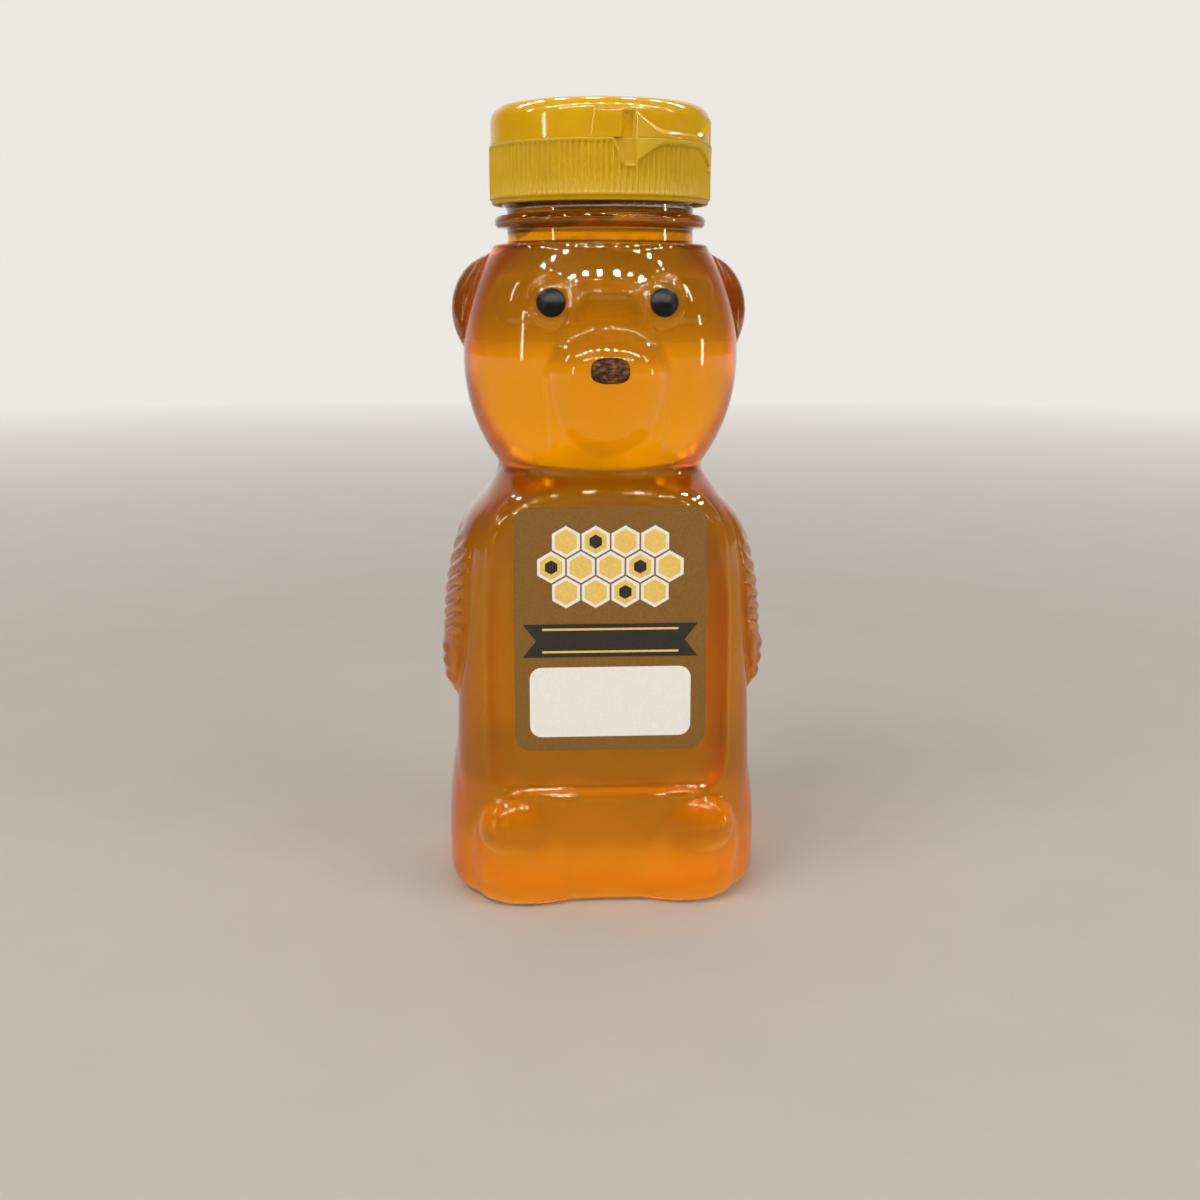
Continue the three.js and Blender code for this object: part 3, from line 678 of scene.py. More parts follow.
def honey_amber():
    """Slightly cloudy amber, with shade painted in towards the shoulders, the crown and the ears, and light
    painted in at the feet and the lower head.
    """
    shader = Shader("honey", Transmission_Weight=0.92, IOR=1.2, Specular_Tint=(1, 0.6, 0.1, 1))
    parts = shader.add("ShaderNodeSeparateXYZ")
    shader.link(shader.place, parts, 0)
    grey = ((z / HONEY_TOP, (rough, rough, rough)) for z, rough in HONEY_ROUGHNESS)
    height = shader.spread(parts.outputs["Z"], 0, 1, 0, HONEY_TOP * MM)
    shader.link(shader.ramp(height, *grey), shader.principled, "Roughness")
    drift = shader.spread(shader.noise(60, detail=3), -0.003, 0.003)
    level = shader.math("ADD", parts.outputs["Z"], drift)
    share = shader.spread(level, 0, 1, 0, HONEY_TOP * MM)
    # Tones along the height: painted light and shade
    stops = [(z / HONEY_TOP, tuple(tone * c for c in HONEY_TINT)) for z, tone in HONEY_PAINTED_SHADING]
    tones = shader.ramp(share, *stops)
    # Painted shade towards the sides, of the body below and of the head above
    aside = shader.math("ABSOLUTE", parts.outputs["X"])
    side_shade = shader.add("ShaderNodeMix", data_type="FLOAT")
    shader.link(shader.spread(parts.outputs["Z"], 0, 1, *SIDE_SHADE_CHANGE), side_shade, 0)
    shader.link(shader.spread(aside, 1, *BODY_SIDE_SHADE), side_shade, 2)
    shader.link(shader.spread(aside, 1, *HEAD_SIDE_SHADE), side_shade, 3)
    shaded_tint = shader.add("ShaderNodeVectorMath", operation="SCALE")
    shader.link(tones, shaded_tint, 0)
    shader.link(side_shade.outputs[0], shaded_tint, "Scale")
    shader.colour(shaded_tint.outputs[0])
    absorb = shader.add("ShaderNodeVolumeAbsorption", {"Color": (1, 0.97, 0.8, 1), "Density": 110})
    shader.link(absorb.outputs["Volume"], shader.output, "Volume")
    return shader.material


GLOSS_TONES = ((206, 156, 3), (212, 164, 5), (217, 170, 8))
SATIN_TONES = ((196, 155, 4), (202, 162, 7), (208, 169, 10))


def closure_yellow(name, tones, ior, smooth, rough):
    shader = Shader(
        name,
        IOR=ior,
        Subsurface_Weight=0.35,
        Subsurface_Scale=0.0012,
        Subsurface_Radius=(1, 0.7, 0.15),
    )
    cloud = shader.noise(130, detail=3)
    places = (0.25, 0.55, 0.8)
    shader.colour(shader.ramp(cloud, *((place, linear(*tone)) for place, tone in zip(places, tones))))
    shader.roughness(shader.noise(900, detail=2), smooth, rough)
    return shader.material


def eye_black():
    return speckled("eye_black", 1500, (7, 7, 8), (19, 18, 18), (0.3, 0.4), IOR=1.3)


def nose_brown():
    shader = Shader("nose_brown", IOR=1.3)
    grain = shader.noise(1000, detail=4, roughness=0.7, stretch=(0.7, 1, 1.6))
    shader.colour(
        shader.ramp(grain, (0.38, linear(30, 15, 6)), (0.5, linear(74, 40, 11)), (0.62, linear(140, 84, 16)))
    )
    shader.roughness(grain, 0.7, 0.9)
    shader.bump(grain, 0.8, 0.0004)
    return shader.material


def printed_gold():
    shader = Shader("label_gold", IOR=1.45, Metallic=0.25)
    grain = shader.noise(3200, detail=2)
    shader.colour(
        shader.ramp(grain, (0.3, linear(124, 85, 27)), (0.5, linear(132, 92, 31)), (0.7, linear(140, 99, 36)))
    )
    shader.roughness(shader.noise(2000, detail=2), 0.38, 0.55)
    shader.bump(grain, 0.12, 0.0001)
    return shader.material


def printed_ink(name, dark, light):
    return speckled(name, 2600, dark, light, (0.44, 0.56), (0.08, 0.0001), IOR=1.45)


def gasket_foam():
    pale = (244, 242, 235)
    return speckled("gasket_foam", 2400, (222, 218, 206), pale, (0.65, 0.85), (0.5, 0.0003), IOR=1.4)


def froth():
    pale = (240, 228, 206)
    return speckled("honey_froth", 1800, pale, (253, 250, 244), (0.25, 0.55), (0.4, 0.0002), 0.65, IOR=1.33)


# Bottle and honey

FACE_STEP = 0.75
BACK_STEP = 2.5
FACE_LIMIT = 120
FACE_LOW = 93
FACE_HIGH = 119
INNER_SKIP = 4
HOLLOW_ROWS = 5
BAND_ROWS = 3
outer_azimuths = np.radians(
    graded((-180, -FACE_LIMIT, FACE_LIMIT, 180), (BACK_STEP, FACE_STEP, BACK_STEP))
)
inner_azimuths = outer_azimuths[::INNER_SKIP]


def stand_radius(azimuth):
    return bear_radius(azimuth, np.full_like(azimuth, HEEL_RADIUS)) - HEEL_RADIUS


def foot_rows(azimuth):
    """Push-up, standing band and heel."""
    stand = stand_radius(azimuth)
    shares = column(np.sqrt(np.linspace(0, 1, HOLLOW_ROWS + 2)[1:-1]))
    hollow = around_axis(shares * (stand - STAND_WIDTH), PUSH_UP * (1 - shares**2), azimuth)
    band = around_axis(stand - column(np.linspace(STAND_WIDTH, 0, BAND_ROWS)), 0, azimuth)
    angles = np.radians(column([15, 30, 45, 60, 75]))
    heel = around_axis(stand + HEEL_RADIUS * np.sin(angles), HEEL_RADIUS * (1 - np.cos(angles)), azimuth)
    return np.vstack([hollow, band, heel])


def thread_distance(height, azimuth, shift=0):
    """Distance along the neck from the thread's ridge."""
    turn = (height - RING_TOP - THREAD_START) / THREAD_PITCH - azimuth / (2 * np.pi) + shift
    return np.abs(turn - np.round(turn)) * THREAD_PITCH


def finish_rows(azimuth):
    """Rounded edge of the crown, neck, transfer ring, screw thread and lip."""
    angles = np.radians(column([20, 40, 60, 80]))
    edge = bear_radius(azimuth, np.full_like(azimuth, HEAD_TOP)) - CROWN_EDGE * (1 - np.cos(angles))
    crown = around_axis(edge, HEAD_TOP + CROWN_EDGE * np.sin(angles), azimuth)
    shelf = HEAD_TOP + CROWN_EDGE
    plain = [
        (NECK_RADIUS + 0.5, shelf + 0.03), (NECK_RADIUS + 0.12, shelf + 0.15),
        (NECK_RADIUS, shelf + 0.4), (NECK_RADIUS, shelf + 0.6),
        (NECK_RADIUS, RING_BOTTOM - 0.5), (NECK_RADIUS, RING_BOTTOM - 0.3),
        (NECK_RADIUS + 0.3, RING_BOTTOM),
    ]
    middle = (RING_BOTTOM + RING_TOP) / 2
    plain += arc_profile(RING_RADIUS - 0.8, middle, 0.8, -90, 90, 9, RING_TOP - middle)
    plain += [(NECK_RADIUS + 0.3, RING_TOP), (NECK_RADIUS, RING_TOP + 0.3), (NECK_RADIUS, RING_TOP + 0.5)]
    heights = column(steps(RING_TOP + 0.9, LIP_TOP - 0.9, 0.36))
    ridge = ease(1.5 - thread_distance(heights, azimuth) / 0.75)
    ends = ease(heights - RING_TOP - 1.2) * ease(LIP_TOP - 1.2 - heights)
    threads = around_axis(NECK_RADIUS + THREAD_DEPTH * ridge * ends, heights, azimuth)
    brim = [(NECK_RADIUS, LIP_TOP - 0.4), (NECK_RADIUS - 0.12, LIP_TOP - 0.12), (NECK_RADIUS - 0.4, LIP_TOP)]
    return np.vstack([crown, turned(plain, azimuth), threads, turned(brim, azimuth)])


def drawn_in(points, gap):
    """Points moved towards the neck's axis."""
    offset = points[..., :2] - (0, AXIS_Y)
    length = np.linalg.norm(offset, axis=-1, keepdims=True)
    return np.concatenate([points[..., :2] - offset / length * gap, points[..., 2:]], axis=-1)


def cavity_rows(azimuth, gap, top):
    """Inside of the bottle from the floor to a level in the neck, drawn in by a gap."""
    floor = BASE_WALL + gap
    stand = stand_radius(azimuth)
    shares = column([0.3, 0.6, 0.85])
    pushed = around_axis(shares * (stand - STAND_WIDTH), PUSH_UP * (1 - shares**2) + floor, azimuth)
    trough = around_axis(stand - WALL - gap, np.array([[floor]]), azimuth)
    shelf = HEAD_TOP + CROWN_EDGE - FINISH_WALL
    heights = column(steps(HEEL_RADIUS + BASE_WALL + 0.3, shelf - 0.5, 1.6))
    wall = around_axis(cavity_radius(azimuth, heights) - gap, heights, azimuth)
    neck = NECK_RADIUS - FINISH_WALL
    ring = RING_RADIUS - FINISH_WALL
    profile = [
        (neck + 0.35, shelf), (neck, shelf + 0.4), (neck, shelf + 0.6),
        (neck, RING_BOTTOM - 0.1), (neck, RING_BOTTOM + 0.1), (neck + 0.5, RING_BOTTOM + 0.45),
        (ring - 0.3, RING_BOTTOM + 0.6), (ring, (RING_BOTTOM + RING_TOP) / 2),
        (ring - 0.3, RING_TOP - 0.6), (neck + 0.5, RING_TOP - 0.45), (neck, RING_TOP - 0.1),
        (neck, RING_TOP + 0.1), (neck, top),
    ]
    return np.vstack([pushed, trough, wall, drawn_in(turned(profile, azimuth), gap)])


def bear_levels():
    """Heights of the bear's rings, close together over the knees, the arms and the face."""
    fine = 0.57
    coarse = 1.2
    knee = KNEE_RISE - KNEE_RADIUS
    ledge = PANEL_BOTTOM + 6
    marks = [HEEL_RADIUS, knee, ledge, ARM_TIP - 1, ARM_SHOULDER, FACE_LOW, FACE_HIGH, HEAD_TOP]
    sizes = [coarse, fine, coarse, fine, coarse * 0.7, fine, coarse * 0.7]
    return column([*graded(marks, sizes), HEAD_TOP])


def make_bottle():
    heights = bear_levels()
    bear = around_axis(bear_radius(outer_azimuths, heights), heights, outer_azimuths)
    outside = np.vstack([foot_rows(outer_azimuths), bear, finish_rows(outer_azimuths)])
    inside = cavity_rows(inner_azimuths, 0, HONEY_TOP)
    bore = around_axis(BORE_RADIUS, column([LIP_TOP - 3, LIP_TOP - 0.3]), inner_azimuths)
    mouth = around_axis(BORE_RADIUS + 0.3, np.array([[LIP_TOP]]), inner_azimuths)
    inside = np.vstack([inside, bore, mouth])
    outer_points, outer_faces = skin(outside, start=[0, AXIS_Y, PUSH_UP])
    inner_points, inner_faces = skin(inside, start=[0, AXIS_Y, PUSH_UP + BASE_WALL])
    offset = len(outer_points)
    inner_faces = [[i + offset for i in reversed(face)] for face in inner_faces]
    outer_count = len(outer_azimuths)
    inner_count = len(inner_azimuths)
    outer_last = (len(outside) - 1) * outer_count
    inner_last = offset + (len(inside) - 1) * inner_count
    lip_faces = []
    for k in range(inner_count):
        rim = [outer_last + (k * INNER_SKIP + i) % outer_count for i in range(INNER_SKIP + 1)]
        lip_faces.append(rim + [inner_last + (k + 1) % inner_count, inner_last + k])
    level = inner_points[:, 2]
    wet = [int(level[[i - offset for i in face]].max() <= HONEY_TOP + 1e-6) for face in inner_faces]
    under = [2 * int(min(face) < (HOLLOW_ROWS + BAND_ROWS - 1) * outer_count) for face in outer_faces]
    slots = under + wet + [0] * len(lip_faces)
    skins = [clear_plastic(), wetted_wall(), base_plastic()]
    mesh = np.vstack([outer_points, inner_points]), outer_faces + inner_faces + lip_faces
    add_piece("bear_bottle", mesh, skins, "bottle", "clear_plastic", "bottle", slots=slots)


def make_honey():
    rows = cavity_rows(inner_azimuths, HONEY_GAP, HONEY_TOP)
    dip = column([-0.25, -0.5, -HONEY_DIP])
    brim = column([0.97, 0.8, 0.4]) * (NECK_RADIUS - FINISH_WALL)
    mesh = skin(
        np.vstack([rows, around_axis(brim, dip + HONEY_TOP, inner_azimuths)]),
        start=[0, AXIS_Y, PUSH_UP + BASE_WALL + HONEY_GAP],
        end=[0, AXIS_Y, HONEY_TOP - HONEY_DIP],
    )
    add_piece("honey", mesh, [honey_amber()], "bottle", "honey", "honey_fill")


FROTH_COUNT = 150
FROTH_THICK = 0.46
FROTH_HALF_WIDTH = 0.36
FROTH_DRIFT = 0.08


def bubble(centre, radius, rounds=8, slices=5):
    """A small ball: closed skin of a few rings."""
    tilt = np.radians(column(np.linspace(-90, 90, slices + 2)[1:-1]))
    turn = np.linspace(0, 2 * np.pi, rounds, endpoint=False)
    ring = radius * np.cos(tilt)
    lift = radius * np.sin(tilt) + 0 * turn
    rows = centre + np.stack([ring * np.cos(turn), ring * np.sin(turn), lift], axis=-1)
    return skin(rows, start=centre - (0, 0, radius), end=centre + (0, 0, radius))


def make_froth():
    """White scum along the honey's brim, with small bubbles caught in it."""
    draw = np.random.default_rng(7)
    turn = np.linspace(0, 2 * np.pi, 240, endpoint=False)
    waves = sum(draw.uniform(0.3, 1) * np.sin(n * turn + draw.uniform(0, 6.28)) for n in (3, 7, 13, 23, 41))
    level = HONEY_TOP + 0.05 + FROTH_DRIFT * waves
    thick = FROTH_THICK + 0.06 * np.abs(waves)
    wall = NECK_RADIUS - FINISH_WALL
    around = np.radians(column([0, 60, 120, 180, 240, 300]))
    radius = wall - 0.4 + FROTH_HALF_WIDTH * np.cos(around)
    meshes = [skin(around_axis(radius, level + thick * np.sin(around), turn), wrap=True)]
    for _ in range(FROTH_COUNT):
        radius = draw.uniform(0.09, 0.24)
        place = draw.uniform(0, 2 * np.pi)
        lift = abs(draw.normal(0, 0.45))
        centre = around_axis(wall - 0.04 - radius - 0.3 * lift, HONEY_TOP + 0.1 + lift, place)
        meshes.append(bubble(centre, radius))
    add_piece("honey_froth", joined(meshes), [froth()], "bottle", "honey")


# Face


def on_face(x, height, lift):
    """Points on the bear's face at a width and a height, lifted off it."""
    azimuth = np.arcsin(2 * x / HEAD_DEPTH)
    for _ in range(12):
        azimuth = np.arcsin(x / bear_radius(azimuth, height))
    return around_axis(bear_radius(azimuth, height) + lift, height, azimuth)


def pad(centre_x, centre_rise, half_width, over, under, dome, edge, square=1):
    """A domed pad on the face: a ring of its outline for each share of its width."""
    turn = np.linspace(0, 2 * np.pi, 64, endpoint=False)
    across = half_width * np.sign(np.cos(turn)) * np.abs(np.cos(turn)) ** square
    upward = np.where(np.sin(turn) > 0, over, -under) * np.abs(np.sin(turn)) ** square
    shares = [0.5, 0.97, 1, 0.99, 0.95, 0.88, 0.76, 0.6, 0.42, 0.22]
    lifts = [-0.06, -0.06, edge * 0.3, edge * 0.7] + [edge + dome * (1 - s * s) for s in shares[4:]]
    height = BODY_HEIGHT + centre_rise
    rows = [on_face(centre_x + s * across, height + s * upward, lift) for s, lift in zip(shares, lifts)]
    rows = [row[::-1] for row in rows]
    low = on_face(centre_x, height, -0.06)
    high = on_face(centre_x, height, edge + dome)
    points, faces = skin(rows, start=low, end=high)
    return points, [face[::-1] for face in faces]


def make_face():
    black = eye_black()
    for name, side in (("eye_left", -1), ("eye_right", 1)):
        place = side * EYE_SPACING / 2
        dome = pad(place, EYE_RISE, EYE_RADIUS, EYE_RADIUS, EYE_RADIUS, EYE_DOME, EYE_EDGE)
        add_piece(name + "_dome", dome, [black], "bottle", "eye_black", name)
    over = NOSE_HEIGHT / (1 + NOSE_FLAT)
    nose = pad(0, NOSE_RISE, NOSE_WIDTH / 2, over, over * NOSE_FLAT, NOSE_DOME, NOSE_EDGE, NOSE_SQUARE)
    add_piece("nose_print", nose, [nose_brown()], "bottle", "nose_brown", "nose_pad")


# Label

LABEL_FACE = AXIS_Y - PANEL_REACH
LABEL_LIFT = 0.03
LABEL_THICK = 0.14
INK_THICK = 0.012
LABEL_CORNER = 3
WHITE, STRAW, DARK = range(3)
# Width, height and corner of the blank panel and of the ribbon's stripes; rises are from the label's middle
BLANK = (29.6, 13.2, 2.2)
BLANK_RISE = -13.4
RIBBON_TIP = 16
RIBBON_FORK = 13.6
RIBBON_HALF_HEIGHT = 3.1
RIBBON_RISE = -1.8
STRIPE = (25, 0.4, 0.19)
STRIPE_RISE = 2.1
COMB_RISE = 11.8
COMB_ROWS = (4, 5, 4)
CELL = 3.1


def rounded_outline(width, height, corner, count=10):
    turn = np.linspace(0, 90, count)
    points = []
    for quarter, (sx, sz) in enumerate(((1, 1), (-1, 1), (-1, -1), (1, -1))):
        angle = np.radians(turn + 90 * quarter)
        x = sx * (width / 2 - corner) + corner * np.cos(angle)
        z = sz * (height / 2 - corner) + corner * np.sin(angle)
        points += list(zip(x, z))
    return np.array(points)


def hexagon_outline(radius):
    angle = np.radians(np.arange(6) * 60 + 30)
    return np.stack([radius * np.cos(angle), radius * np.sin(angle)], axis=1)


def plate(outline_points, centre_x, centre_z, back, front):
    """A flat plate facing the front, between two distances off the label's seat."""
    count = len(outline_points)
    x = outline_points[:, 0] + centre_x
    z = outline_points[:, 1] + centre_z
    rear = np.stack([x, np.full(count, LABEL_FACE - back), z], axis=1)
    fore = np.stack([x, np.full(count, LABEL_FACE - front), z], axis=1)
    faces = [list(range(count))[::-1], list(range(count, 2 * count))]
    for i in range(count):
        j = (i + 1) % count
        faces.append([i, j, count + j, count + i])
    return np.vstack([rear, fore]), faces


def label_prints():
    """The print as outlines with their places from the label's middle, ink and layer."""
    half = RIBBON_HALF_HEIGHT
    left = [(-RIBBON_TIP, half), (-RIBBON_FORK, 0), (-RIBBON_TIP, -half)]
    ribbon = np.array(left + [(-x, z) for x, z in reversed(left)])
    prints = [(rounded_outline(*BLANK), 0, BLANK_RISE, WHITE, 1), (ribbon, 0, RIBBON_RISE, DARK, 1)]
    for rise in (-STRIPE_RISE, STRIPE_RISE):
        prints.append((rounded_outline(*STRIPE), 0, rise + RIBBON_RISE, STRAW, 2))
    for row, columns in enumerate(COMB_ROWS):
        for k in range(columns):
            x = (k - (columns - 1) / 2) * CELL * math.sqrt(3)
            z = COMB_RISE + (1 - row) * CELL * 1.5
            prints.append((hexagon_outline(CELL * 0.94), x, z, WHITE, 1))
            prints.append((hexagon_outline(CELL * 0.74), x, z, STRAW, 2))
            if (row + k) % 3 == 1:
                prints.append((hexagon_outline(CELL * 0.42), x, z, DARK, 3))
    return prints


def make_label():
    width, _, height = label_high - label_low
    middle_x, _, middle_z = (label_high + label_low) / 2
    top = LABEL_LIFT + LABEL_THICK
    sheet = plate(rounded_outline(width, height, LABEL_CORNER), middle_x, middle_z, LABEL_LIFT, top)
    add_piece("label_sheet", sheet, [printed_gold()], "bottle", "label_paper", "front_label", smooth=False)
    meshes = []
    slots = []
    for shape, x, z, ink, layer in label_prints():
        back = top + 0.002 - INK_THICK / 2
        meshes.append(plate(shape, middle_x + x, middle_z + z, back, top + INK_THICK * layer))
        slots += [ink] * len(meshes[-1][1])
    inks = [
        printed_ink("ink_white", (228, 223, 216), (234, 230, 224)),
        printed_ink("ink_straw", (222, 182, 84), (232, 198, 104)),
        printed_ink("ink_dark", (30, 24, 18), (46, 38, 28)),
    ]
    add_piece("label_print", joined(meshes), inks, "bottle", "label_paper", slots=slots, smooth=False)


# Closure


def bow_tie(arc, rise):
    """How far a point lies inside the bow-tie, and how deep it is dished there."""
    reach = np.abs(arc)
    near = WAIST_WIDTH / 2
    share = np.clip((reach - near) / WING_WIDTH, 0, 1)
    half = WAIST_HEIGHT / 2 + (WING_DEPTH - WAIST_HEIGHT / 2) * share**1.4
    inside = ease((half - np.abs(rise)) / 0.5 + 0.4) * ease((near + WING_WIDTH - reach) / 0.35)
    dish = share * (1 - np.abs(rise) / half) * WING_DISH
    return inside, dish


def notch(arc, rise, margin=0):
    """How far a point lies inside one of the V-shaped slots beside the wings, or inside its border."""
    reach = np.abs(arc) - WAIST_WIDTH / 2 - WING_WIDTH
    depth = np.clip(np.abs(rise) / (WING_DEPTH + margin), 0, 1.2)
    narrowing = BASE_NOTCH_WIDTH + (BASE_NOTCH_END - BASE_NOTCH_WIDTH) * depth
    width = np.where(rise > 0, LID_NOTCH_WIDTH, narrowing) + margin
    edge = np.where(rise > 0, 1.1, 0.4)
    return ease(reach / 0.25) * ease((width - reach) / edge) * ease((1.03 - depth) * 12)


def side_panel(arc, rise):
    """The shallow trapezoid panel beyond a slot, on the lid."""
    reach = np.abs(arc)
    inner = WAIST_WIDTH / 2 + WING_WIDTH + LID_NOTCH_WIDTH - 0.2 - 0.45 * rise
    outer = 18.1 - 0.16 * rise
    return ease((reach - inner) / 0.2) * ease((outer - reach) / 0.2) * ease((4.6 - rise) / 0.2)


def wall_radius(base, azimuth, height):
    """Radius of the closure's wall with its bow-tie and slots, and arcs from the hinge and the lip."""
    turn = (azimuth - radians(HINGE_AZIMUTH) + np.pi) % (2 * np.pi) - np.pi
    arc = turn * RIB_RADIUS
    rise = height - PARTING
    inside, dish = bow_tie(arc, rise)
    border = np.where(rise < 0, notch(arc, rise, NOTCH_BORDER), 0)
    radius = base + (RIB_RADIUS + NOTCH_PROUD - base) * border
    radius = radius - (NOTCH_DEPTH + NOTCH_PROUD * border) * notch(arc, rise)
    back = (np.pi - np.abs(turn)) * RIB_RADIUS
    return radius + (WING_RADIUS - dish - radius) * inside, arc, back


def base_wall(azimuth, height):
    ribs = RIB_DEPTH * (0.5 - 0.5 * np.cos(RIB_COUNT * azimuth)) ** 0.65
    rib_low = RIM_BOTTOM + RIM_HEIGHT + PLAIN_BAND
    rib_high = PARTING - SEAM_GAP - 0.45
    ribs = ribs * ease((height - rib_low) / 0.25) * ease((rib_high - height) / 0.25)
    radius, _, back = wall_radius(RIB_RADIUS - ribs, azimuth, height)
    grip = ease((LIP_WIDTH / 2 - back) / 0.8) * ease((height - PARTING + GRIP_HEIGHT) / 0.8)
    return radius - GRIP_DEPTH * grip


def lid_wall(azimuth, height, base):
    radius, arc, back = wall_radius(base, azimuth, height)
    rise = height - PARTING
    radius = radius + PANEL_STEP * side_panel(arc, rise)
    lip = ease((LIP_WIDTH / 2 - back) / 1.2) * ease((LIP_HEIGHT - rise) / 0.5)
    return radius + LIP_REACH * lip


def skirt_rows(azimuth):
    """Outside of the closure's base: rim, plain band, ribs and its half of the hinge."""
    rim_top = RIM_BOTTOM + RIM_HEIGHT
    rim = [
        (CLOSURE_BORE + 0.2, RIM_BOTTOM), (RIM_RADIUS - 0.2, RIM_BOTTOM),
        (RIM_RADIUS, RIM_BOTTOM + 0.2), (RIM_RADIUS, rim_top - 0.05),
        (RIM_RADIUS + 0.05, rim_top), (RIB_RADIUS - 0.1, rim_top + 0.02),
    ]
    top = PARTING - SEAM_GAP
    levels = [rim_top + 0.12] + [rim_top + PLAIN_BAND + past for past in (-0.05, 0.1, 0.3)]
    levels += list(steps(PARTING - WING_DEPTH - 1, top - SEAM_EDGE, 0.24))
    wall = [around_axis(base_wall(azimuth, z), z, azimuth) for z in levels]
    edge = around_axis(base_wall(azimuth, top) - SEAM_EDGE, top, azimuth)
    return [*turned(rim, azimuth), *wall, edge]


def deck_profile():
    """Snap ring, deck and spout of the closure's base."""
    snap = LID_RADIUS - LID_WALL - 0.4
    half = (SPOUT_OUTER - SPOUT_BORE) / 2
    return [
        (snap + 0.1, DECK_TOP), (snap, DECK_TOP + 0.1), (snap, DECK_TOP + 1),
        (snap - 0.2, DECK_TOP + 1.2), (snap - 0.6, DECK_TOP + 1.2), (snap - 0.8, DECK_TOP + 1),
        (snap - 0.8, DECK_TOP + 0.15), (snap - 0.95, DECK_TOP), (SPOUT_OUTER + 0.5, DECK_TOP),
        (SPOUT_OUTER + 0.1, DECK_TOP + 0.12), (SPOUT_OUTER, DECK_TOP + 0.5),
        *arc_profile(SPOUT_OUTER - half, SPOUT_TOP - half, half, 0, 180, 9),
        (SPOUT_BORE, DECK_BOTTOM + 0.2), (SPOUT_BORE + 0.2, DECK_BOTTOM),
        (CLOSURE_BORE - 0.2, DECK_BOTTOM),
    ]


def inner_thread_rows(azimuth):
    """Inside of the skirt, from the deck down."""
    heights = column(steps(RIM_BOTTOM + 0.3, DECK_BOTTOM - 0.25, 0.45)[::-1])
    ends = ease((heights - RIM_BOTTOM - 0.8) / 0.8) * ease((DECK_BOTTOM - 1 - heights) / 0.8)
    ridge = ease(1.4 - thread_distance(heights, azimuth, 0.5) / 0.6)
    return around_axis(CLOSURE_BORE - 0.9 * ridge * ends, heights, azimuth)


def make_closure_base(plastic):
    azimuth = np.linspace(0, 2 * np.pi, RIB_COUNT * 8, endpoint=False)
    rows = [*skirt_rows(azimuth), *turned(deck_profile(), azimuth), *inner_thread_rows(azimuth)]
    add_piece("closure_skirt", skin(rows, wrap=True), [plastic], "closure", "closure_yellow", "closure_base")


def make_lid(plastic):
    azimuth = np.linspace(0, 2 * np.pi, 720, endpoint=False)
    bottom = PARTING + SEAM_GAP
    under = LID_TOP - LID_WALL
    bore = LID_RADIUS - LID_WALL
    pin = SPOUT_BORE - 0.4
    pin_end = SPOUT_TOP - 1.6
    profile = [
        (pin - 0.9, pin_end), (pin - 0.4, pin_end + 0.1), (pin, pin_end + 0.5),
        (pin, under - 0.5), (pin + 0.5, under), (bore - 1.2, under),
        (bore - 0.35, under - 0.35), (bore, under - 1.2), (bore, bottom + 0.15),
        (bore + 0.15, bottom),
    ]
    rows = list(turned(profile, azimuth))
    rows.append(around_axis(lid_wall(azimuth, bottom, LID_RADIUS) - SEAM_EDGE, bottom, azimuth))
    for z in steps(bottom + SEAM_EDGE, LID_TOP - LID_EDGE, 0.22):
        rows.append(around_axis(lid_wall(azimuth, z, LID_RADIUS), z, azimuth))
    for r, z in arc_profile(LID_RADIUS - LID_EDGE, LID_TOP - LID_EDGE, LID_EDGE, 6, 90, 12):
        rows.append(around_axis(lid_wall(azimuth, z, r), z, azimuth))
    rows += [around_axis(r, LID_TOP, azimuth) for r in (14, 9, 4)]
    mesh = skin(rows, start=[0, AXIS_Y, pin_end], end=[0, AXIS_Y, LID_TOP])
    add_piece("lid_shell", mesh, [plastic], "lid", "closure_yellow", "flip_lid")


def make_hinge_film(plastic):
    """The thin fold between the two halves of the bow-tie."""
    middle = radians(HINGE_AZIMUTH)
    span = middle + np.linspace(-0.5, 0.5, 25) * (WAIST_WIDTH - 0.6) / RIB_RADIUS
    levels = steps(PARTING - 0.7, PARTING + 0.7, 0.07)
    film_out = WING_RADIUS - 0.12
    film_in = film_out - 0.3
    rows = [np.vstack([around_axis(film_out, z, span), around_axis(film_in, z, span[::-1])]) for z in levels]
    low, high = (around_axis((film_in + film_out) / 2, z, middle) for z in (levels[0], levels[-1]))
    piece = make_piece("hinge_film", *skin(rows, start=low, end=high), [plastic])
    centre = around_axis(film_out, PARTING, middle) * MM
    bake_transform(piece)


def make_gasket():
    azimuth = np.linspace(0, 2 * np.pi, 128, endpoint=False)
    edge = 0.25
    outer = (gasket_high[0] - gasket_low[0]) / 2 - edge
    inner = outer + 2 * edge - GASKET_WIDTH
    low = gasket_low[2] + edge
    high = gasket_high[2] - edge
    profile = []
    for k, (radius, height) in enumerate(((outer, low), (outer, high), (inner, high), (inner, low))):
        profile += arc_profile(radius, height, edge, 90 * k - 90, 90 * k, 4)
    mesh = skin(turned(profile, azimuth), wrap=True)
    add_piece("foam_gasket", mesh, [gasket_foam()], "gasket", "gasket_foam", "neck_gasket")


# Stage

FLOOR_RADIUS = 4000
FADE_START = 250
FADE_END = 1300
BACKDROP = linear(236, 232, 226)
FORE_ROOM = linear(92, 88, 82)
CEILING = linear(255, 253, 250)


